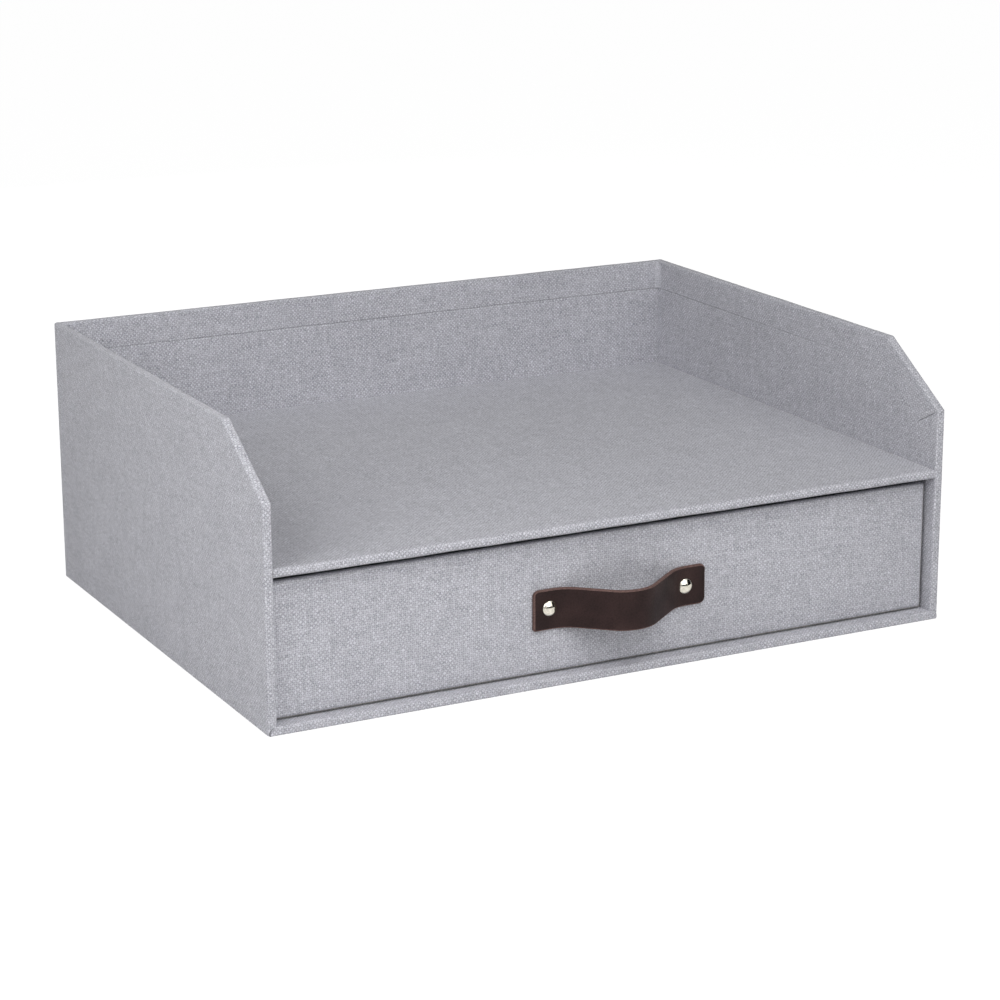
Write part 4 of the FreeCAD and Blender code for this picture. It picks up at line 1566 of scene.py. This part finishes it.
@dataclass
class LeatherPull:
    """A strap that lies flat under its rivets and bows away from the drawer between them.

    Attributes:
        leather, cut: The materials of its faces and of its cut edges.
        left_span, right_span: From the crown's top to where each foot bend ends.
        foot_radius, crown_radius: The bends' radii.
        thickness: The leather's.
        edge: How round the cut edges are.
        raw_face: How wide the raw colour shows on the face, along its top and left edges.
        raw_below: The share of it that shows along the bottom.
        raw_right: The share of the edge's radius that the right end's raw colour takes.
        left_corners, right_corners: The radii of each end's top and bottom corner.
        dent, dent_radius: How deep and wide a rivet presses the leather in.
        lean: How much the strap rises to the right.
        sag: How far it is below its rivets' middles.
        crown_steps, slope_steps, foot_steps, flat_steps: The line's points on each part.
        end_run, end_places: How far from the end the close points for its corners start, and
            their distances from it in millimetres.
    """

    leather: bpy.types.Material
    cut: bpy.types.Material
    left_span: float = 32 * MM
    right_span: float = 34 * MM
    foot_radius: float = 15 * MM
    crown_radius: float = 15.7 * MM
    thickness: float = 1.6 * MM
    edge: float = 0.5 * MM
    raw_face: float = 0.22 * MM
    raw_below: float = 0.3
    raw_right: float = 0.6
    left_corners: tuple[float, float] = (2.8 * MM, 1.2 * MM)
    right_corners: tuple[float, float] = (2.6 * MM, 2.8 * MM)
    dent: float = 0.12 * MM
    dent_radius: float = 4.2 * MM
    lean: float = 0.006
    sag: float = 0.4 * MM
    crown_steps: int = 20
    slope_steps: int = 7
    foot_steps: int = 18
    flat_steps: int = 8
    end_run: float = 4 * MM
    end_places: tuple[float, ...] = (3, 2.3, 1.7, 1.2, 0.8, 0.7, 0.5, 0.33, 0.2, 0.1, 0.03, 0)

    def half_line(self, span: float, reach: float, bow: float) -> tuple[np.ndarray, np.ndarray]:
        """Work out the strap's middle line from the crown's top to one end.

        The crown is centre + R (sin a, cos a), the foot bend is the same turned over, and the
        slope between them is the line that touches both.

        Args:
            span: How far from the crown's top the foot bend ends.
            reach: How far the strap's end is.
            bow: How far the crown stands out.

        Returns:
            Points by (distance, out), and how steeply the strap falls at each, in radians.
        """
        foot, crown = self.foot_radius, self.crown_radius
        fall = bow - foot - crown
        steep = math.atan2(fall, span) + math.asin((foot + crown) / math.hypot(span, fall))
        over = np.linspace(0, steep, self.crown_steps)
        turn = np.linspace(steep, 0, self.foot_steps)
        top = np.stack([crown * np.sin(over), bow - crown * (1 - np.cos(over))], axis=1)
        bend = np.stack([span - foot * np.sin(turn), foot * (1 - np.cos(turn))], axis=1)
        part = np.linspace(0, 1, self.slope_steps)[1:-1, None]
        climb = top[-1] * (1 - part) + bend[0] * part
        flat_end, ends = reach - self.end_run, reach - np.array(self.end_places) * MM
        flat = np.concatenate([np.linspace(span, flat_end, self.flat_steps)[1:], ends])
        points = np.concatenate([top, climb, bend, np.stack([flat, 0 * flat], axis=1)])
        return points, np.concatenate([over, np.full(len(climb), steep), turn, 0 * flat])

    def line(self, low: float, high: float, bow: float) -> tuple[np.ndarray, np.ndarray]:
        """Join the two halves of the strap's middle line.

        Args:
            low: X of the left end.
            high: X of the right end.
            bow: How far the crown stands out.

        Returns:
            Points by (x, out), and each one's heading in radians.
        """
        left, rise = self.half_line(self.left_span, -low, bow)
        right, drop = self.half_line(self.right_span, high, bow)
        points = np.concatenate([left[::-1] * [-1, 1], right[1:]])
        return points, np.concatenate([rise[::-1], -drop[1:]])

    def ring(self, faces: int = 12, bends: int = 5) -> tuple[np.ndarray, list[int]]:
        """Go once round the strap's section, from the back's top edge over the top.

        Args:
            faces: The number of steps down the front and up the back.
            bends: The number of points round each soft edge.

        Returns:
            Rows of (share of the top edge, offset from the edges, place through the leather),
            and the rows where the top edge, front, bottom edge and back start and end.
        """
        soft, half = self.edge, self.thickness / 2
        angle = np.radians(np.linspace(0, 90, bends))
        sine, cosine = soft * np.sin(angle), soft * np.cos(angle)
        one, part = np.ones(bends), np.linspace(1, 0, faces + 1)[1:-1]
        flat = np.full(len(part), half)
        raw_top, raw_bottom = soft + self.raw_face, soft + self.raw_below * self.raw_face
        runs = [
            np.stack([one, sine - soft, soft - half - cosine]),
            np.stack([one, cosine - soft, half - soft + sine]),
            np.array([[1.0], [-raw_top], [half]]),
            np.stack([part, soft * (1 - 2 * part), flat]),
            np.array([[0.0], [raw_bottom], [half]]),
            np.stack([0 * one, soft - sine, half - soft + cosine]),
            np.stack([0 * one, soft - cosine, soft - half - sine]),
            np.stack([part[::-1], soft * (1 - 2 * part[::-1]), -flat]),
        ]
        ring = np.concatenate([*runs, runs[0][:, :1]], axis=1).T
        counts = np.cumsum([run.shape[1] for run in runs])
        return ring, [0, counts[2] - 1, counts[3], counts[6] - 1, len(ring) - 1]

    def cover(self) -> bpy.types.Object:
        """Carry a soft-edged section along the line, narrowed round the ends' corners.

        A corner of radius R takes R - sqrt(R^2 - (R - d)^2) off the width at d from the end,
        and the soft end edge thins the leather in the same way. A rivet presses the face in by
        the dent times exp(-(distance / radius)^2).

        Returns:
            The strap.
        """
        low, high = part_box("leather_pull")
        half = self.thickness / 2
        line, heading = self.line(low.x, high.x, high.y - low.y - self.thickness)
        along = np.concatenate([[0], np.cumsum(np.hypot(*np.diff(line, axis=0).T))])
        end = np.minimum(along, along[-1] - along)
        left = along < along[-1] / 2

        def taken(radius: np.ndarray) -> np.ndarray:
            """Give what a corner takes off at each station."""
            return radius - np.sqrt(radius**2 - np.maximum(radius - end, 0) ** 2)

        reach = (high.z - low.z) / 2
        top, bottom = (
            reach - taken(np.where(left, on_left, on_right))
            for on_left, on_right in zip(self.left_corners, self.right_corners)
        )
        ring, marks = self.ring()
        share, offset, through = (column[:, None] for column in ring.T)
        level = share * top - (1 - share) * bottom + offset
        level = level + self.lean * line[:, 0] - self.sag
        through = through * (1 - taken(np.full(len(end), self.edge)) / half)
        for side in ("left", "right"):
            cap_low, cap_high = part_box(f"{side}_rivet_cap")
            apart = np.hypot(line[:, 0] - (cap_low.x + cap_high.x) / 2, level)
            pressed = self.dent * np.exp(-((apart / self.dent_radius) ** 2))
            through = through - np.where(through > 0, pressed, 0)
        across = line[:, 0] - through * np.sin(heading)
        out = line[:, 1] + through * np.cos(heading)
        points = np.stack(
            [across, high.y - half - out, (low.z + high.z) / 2 + level + 0 * out], axis=-1
        )
        steps = np.hypot(*np.diff(ring[:, 1:] + ring[:, :1] * [2 * reach, 0], axis=0).T)
        round_it = np.concatenate([[0], np.cumsum(steps)])
        spread = np.stack([along + 0 * level, round_it[:, None] + 0 * level], axis=-1)
        caps = [points[:, side].mean(axis=0) + 0 * points[:, :1] for side in ([0], [-1])]
        points = np.concatenate([caps[0], points, caps[1]], axis=1)
        spread = np.concatenate([spread[:, :1], spread, spread[:, -1:]], axis=1)
        left_cut = 1 + int(np.sum(along < self.edge + self.raw_face))
        right_cut = 1 + int(np.sum(along[-1] - along < self.raw_right * self.edge))
        last = points.shape[1] - 1
        columns = [0, left_cut, last - right_cut, last]
        patches = []
        for band in range(4):
            rows = slice(marks[band], marks[band + 1] + 1)
            for part in range(3):
                side = slice(columns[part], columns[part + 1] + 1)
                cut = band in (0, 2) or part != 1
                patches.append(Patch(points[rows, side], spread[rows, side], int(cut)))
        piece = build_mesh("strap", patches)
        materials = [self.leather, self.cut]
        return dress(piece, Body.DRAWER, materials, ["leather_pull"])


@dataclass
class Rivets:
    """Two domed caps that are pressed onto posts through the strap and the drawer's front."""

    metal: bpy.types.Material
    rim: float = 0.45 * MM
    soft: float = 0.2 * MM
    soft_steps: int = 6
    dome_steps: int = 20
    around: int = 72

    def cap(self, side: str) -> bpy.types.Object:
        """Turn a cap: flat back, soft rim, and a dome of radius (r^2 + h^2) / 2 h.

        Args:
            side: "left" or "right".

        Returns:
            The cap.
        """
        low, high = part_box(f"{side}_rivet_cap")
        radius, height, soft = (high.x - low.x) / 2, high.y - low.y, self.soft
        rise = height - self.rim
        ball = (radius**2 + rise**2) / (2 * rise)
        angle = np.radians(np.linspace(-90, 0, self.soft_steps))
        over = math.asin(radius / ball) * (1 - np.linspace(0, 1, self.dome_steps))
        rounded = [radius - soft + soft * np.cos(angle), soft + soft * np.sin(angle)]
        dome = [ball * np.sin(over), height - ball + ball * np.cos(over)]
        back = [[0, 0], [0.5 * radius, 0]]
        profile = np.concatenate([back, np.stack(rounded, axis=1), np.stack(dome, axis=1)])
        turn = np.linspace(0, 2 * math.pi, self.around + 1)
        across, out = profile[:, :1], profile[:, 1:]
        middle_x, middle_z = (low.x + high.x) / 2, (low.z + high.z) / 2
        x, z = middle_x + across * np.sin(turn), middle_z + across * np.cos(turn)
        points = np.stack([x, high.y - out + 0 * turn, z], axis=-1)
        spread = np.stack([0 * across + radius * turn, across + 0 * turn], axis=-1)
        piece = build_mesh(f"{side}_rivet_dome", [Patch(points, spread)])
        return dress(piece, Body.DRAWER, [self.metal], [f"{side}_rivet_cap"])


# ---------------------------------------------------------------------------------------------
# The studio
# ---------------------------------------------------------------------------------------------


def stand(
    data: bpy.types.ID, place: Sequence[float], back: np.ndarray, roll: float = 0.0
) -> bpy.types.Object:
    """Stand a lamp or a camera in the scene, by the axes level = Z x back, up = back x level.

    Args:
        data: The lamp or camera.
        place: Where it stands.
        back: The direction behind it.
        roll: How far it is turned about that direction, in radians.

    Returns:
        Its object.
    """
    back = back / np.linalg.norm(back)
    level = np.cross(Z, back)
    level = level / np.linalg.norm(level)
    up = np.cross(back, level)
    right = math.cos(roll) * level + math.sin(roll) * up
    up = math.cos(roll) * up - math.sin(roll) * level
    matrix = np.eye(4)
    matrix[:3, :3] = np.stack([right, up, back], axis=1)
    matrix[:3, 3] = place
    standing = bpy.data.objects.new(data.name, data)
    standing.matrix_world = Matrix(matrix.tolist())
    bpy.context.scene.collection.objects.link(standing)
    return standing


@dataclass(frozen=True)
class SoftBox:
    """A square lamp that faces the object."""

    name: str
    place: tuple[float, float, float]
    aim: tuple[float, float, float]
    size: float
    power: float

    def hang(self) -> None:
        """Make the lamp and point it at its aim, out of the camera's sight."""
        data = bpy.data.lights.new(self.name, "AREA")
        data.shape, data.size, data.energy = "SQUARE", self.size, self.power
        lamp = stand(data, self.place, np.array(self.place) - np.array(self.aim))
        lamp.visible_camera = False


@dataclass
class Studio:
    """A pale floor, soft lamps, a dark card for the metal to mirror, and the camera.

    Attributes:
        azimuth, elevation, roll: Which way the camera faces, in degrees.
        place: Where it stands.
        focal_pixels, width_pixels: Its focal length and its view's width, in pixels.
        sensor: Its sensor's width in millimetres.
        sky: How strongly the world lights the object.
        lamps: The soft boxes. The last one lights the back.
        paper, glow, glow_share: The floor's colour, and how bright and how much of it shows
            as plain white.
        floor_reach: How far the floor goes each way.
        card_radius: How far off the card stands.
        card_left, card_right: Its ends' angles from the front, in degrees.
        card_low, card_high: Its height at its left and at its right.
        card_climb: The angles, in radians, between which it gets higher.
        card_grid: Its columns and rows.
    """

    azimuth: float = -27.37
    elevation: float = 15.77
    roll: float = -0.18
    place: tuple[float, float, float] = (-0.5794, -1.1299, 0.4055)
    focal_pixels: float = 2847.0
    width_pixels: float = 1000.0
    sensor: float = 36.0
    sky: float = 0.12
    lamps: tuple[SoftBox, ...] = (
        SoftBox("side_lamp", (-0.63, -0.22, 0.52), (0, -0.05, 0.06), 0.5, 2.9),
        SoftBox("near_lamp", (-0.17, -0.68, 0.52), (0, -0.05, 0.06), 0.5, 2.1),
        SoftBox("front_lamp", (0.38, -1.47, 1.09), (0, -0.05, 0.06), 1.2, 7.5),
        SoftBox("upper_lamp", (0.1, -0.55, 0.9), (0, -0.05, 0.06), 0.3, 1.45),
        SoftBox("back_lamp", (0.0, 1.2, 0.17), (0, 0.12, 0.06), 0.3, 5.5),
    )
    paper: str = "#F2F2F2"
    glow: float = 1.13
    glow_share: float = 0.86
    floor_reach: float = 4.0
    card_radius: float = 2.4
    card_left: float = -75
    card_right: float = 120
    card_low: float = 0.3
    card_high: float = 2.6
    card_climb: tuple[float, float] = (-0.9, 1.2)
    card_grid: tuple[int, int] = (60, 9)

    def camera(self) -> None:
        """Point the camera by azimuth, elevation and roll, with its focal length from pixels."""
        turn, lift = math.radians(self.azimuth), math.radians(self.elevation)
        back = np.array(
            [math.sin(turn) * math.cos(lift), -math.cos(turn) * math.cos(lift), math.sin(lift)]
        )
        data = bpy.data.cameras.new("camera")
        data.sensor_width = self.sensor
        data.lens = self.focal_pixels / self.width_pixels * data.sensor_width
        camera = stand(data, self.place, back, math.radians(self.roll))
        bpy.context.scene.camera = camera

    def seen(self, tree: bpy.types.NodeTree) -> bpy.types.NodeSocket:
        """Give 1 where the camera, metal or glass sees the background, and 0 elsewhere.

        Args:
            tree: The background's tree.

        Returns:
            The value.
        """
        rays = add(tree, "LightPath").outputs
        shown = rays["Is Camera Ray"]
        mirrored = {0: rays["Is Glossy Ray"], 1: rays["Is Transmission Ray"]}
        other = add(tree, "Math", mirrored, operation="MAXIMUM").outputs[0]
        return add(tree, "Math", {0: shown, 1: other}, operation="MAXIMUM").outputs[0]

    def world(self) -> None:
        """Light evenly from all round, and show white behind the object."""
        world = bpy.data.worlds.new("studio")
        world.use_nodes = True
        tree = world.node_tree
        tree.nodes.clear()
        light, white = (
            add(tree, "Background", {"Color": linear("#FFFFFF"), "Strength": strength}).outputs[0]
            for strength in (self.sky, 1.0)
        )
        mix = add(tree, "MixShader", {0: self.seen(tree), 1: light, 2: white})
        add(tree, "OutputWorld", {"Surface": mix.outputs[0]})
        bpy.context.scene.world = world

    def floor(self) -> None:
        """Lay matt white paper that shows as white and keeps a light shadow."""
        material, tree = new_material("white_paper")
        paper = add(tree, "BsdfDiffuse", {"Color": linear(self.paper)}).outputs[0]
        glow = {"Color": linear("#FFFFFF"), "Strength": self.glow}
        white = add(tree, "Emission", glow).outputs[0]
        share = {0: self.seen(tree), 1: self.glow_share}
        shown = add(tree, "Math", share, operation="MULTIPLY").outputs[0]
        mix = add(tree, "MixShader", {0: shown, 1: paper, 2: white})
        add(tree, "OutputMaterial", {"Surface": mix.outputs[0]})
        mesh = bpy.data.meshes.new("floor")
        reach = self.floor_reach
        corners = [(-reach, -reach, 0), (reach, -reach, 0), (reach, reach, 0), (-reach, reach, 0)]
        mesh.from_pydata(corners, [], [(0, 1, 2, 3)])
        mesh.materials.append(material)
        floor = bpy.data.objects.new("floor", mesh)
        bpy.context.scene.collection.objects.link(floor)

    def card(self) -> None:
        """Stand a dark card round the front, higher to the right, which only mirrors show.

        It is x = R sin a, y = - R cos a, from the floor up to a height that rises with a.
        """
        material, tree = new_material("black_card")
        paint = add(tree, "BsdfDiffuse", {"Color": linear("#161514")})
        add(tree, "OutputMaterial", {"Surface": paint.outputs[0]})
        columns, rows = self.card_grid
        turn = np.radians(np.linspace(self.card_left, self.card_right, columns))
        angle, part = np.meshgrid(turn, np.linspace(0, 1, rows))
        taller = (self.card_high - self.card_low) * ease(angle, *self.card_climb)
        points = self.card_radius * np.stack([np.sin(angle), -np.cos(angle), 0 * angle], -1)
        above_floor = 0.02
        points = points + (above_floor + part * (self.card_low + taller))[..., None] * Z
        card = build_mesh("dark_card", [Patch(points, points[..., :2])])
        card.data.materials.append(material)
        for ray in ("camera", "diffuse", "transmission", "volume_scatter", "shadow"):
            setattr(card, f"visible_{ray}", False)

    def set_up(self) -> None:
        """Make the world, the floor, the lamps and the camera, in the plain colour transform."""
        self.world()
        self.floor()
        self.card()
        for lamp in self.lamps:
            lamp.hang()
        self.camera()
        bpy.context.scene.view_settings.view_transform = "Standard"


def main() -> None:
    """Build and dress the pieces in order, report each, and set up the studio."""
    logging.basicConfig(level=logging.INFO, format="%(message)s")
    cloth = WovenCloth("woven_cloth").material()
    # The case's and the tray's copies paint more shading onto the thread tops, as slanting light
    # and a slanting view give there.
    wrap = WovenCloth("woven_cloth_on_the_case", warp_weft_shade=0.16).material()
    tray = WovenCloth("woven_cloth_in_the_tray", warp_weft_shade=0.2).material()
    upright = WovenCloth("woven_cloth_on_walls", Grain.UPRIGHT).material()
    flat = WovenCloth("woven_cloth_on_floors", Grain.FLAT).material()
    board, metal = Greyboard().material(), NickelPlate().material()

    sizes = CaseSizes.from_frame()
    walls, drawer, rivets = WallCover(sizes, wrap), DrawerCover(cloth), Rivets(metal)
    pull = LeatherPull(Leather().material(), CutLeather().material())
    for piece in (
        walls.cover(),
        walls.lining(),
        TrayFloor(sizes, tray).cover(),
        BaseCover(sizes, wrap).cover(),
        drawer.cover(),
        drawer.underside(),
        pull.cover(),
        rivets.cap("left"),
        rivets.cap("right"),
    ):
        log.info("%s: %d faces", piece.name, len(piece.data.polygons))

    kept = {
        "left_rivet_post": metal,
        "right_rivet_post": metal,
        "bay_wall_lining": upright,
        "drawer_wall_lining": upright,
        "bay_floor_cloth": flat,
        "bay_ceiling_cloth": flat,
        "drawer_floor_lining": flat,
    }
    kept |= {node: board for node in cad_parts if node.endswith("_board")}
    for node, material in kept.items():
        repaint(node, material)

    Studio().set_up()


if __name__ == "__main__":
    main()
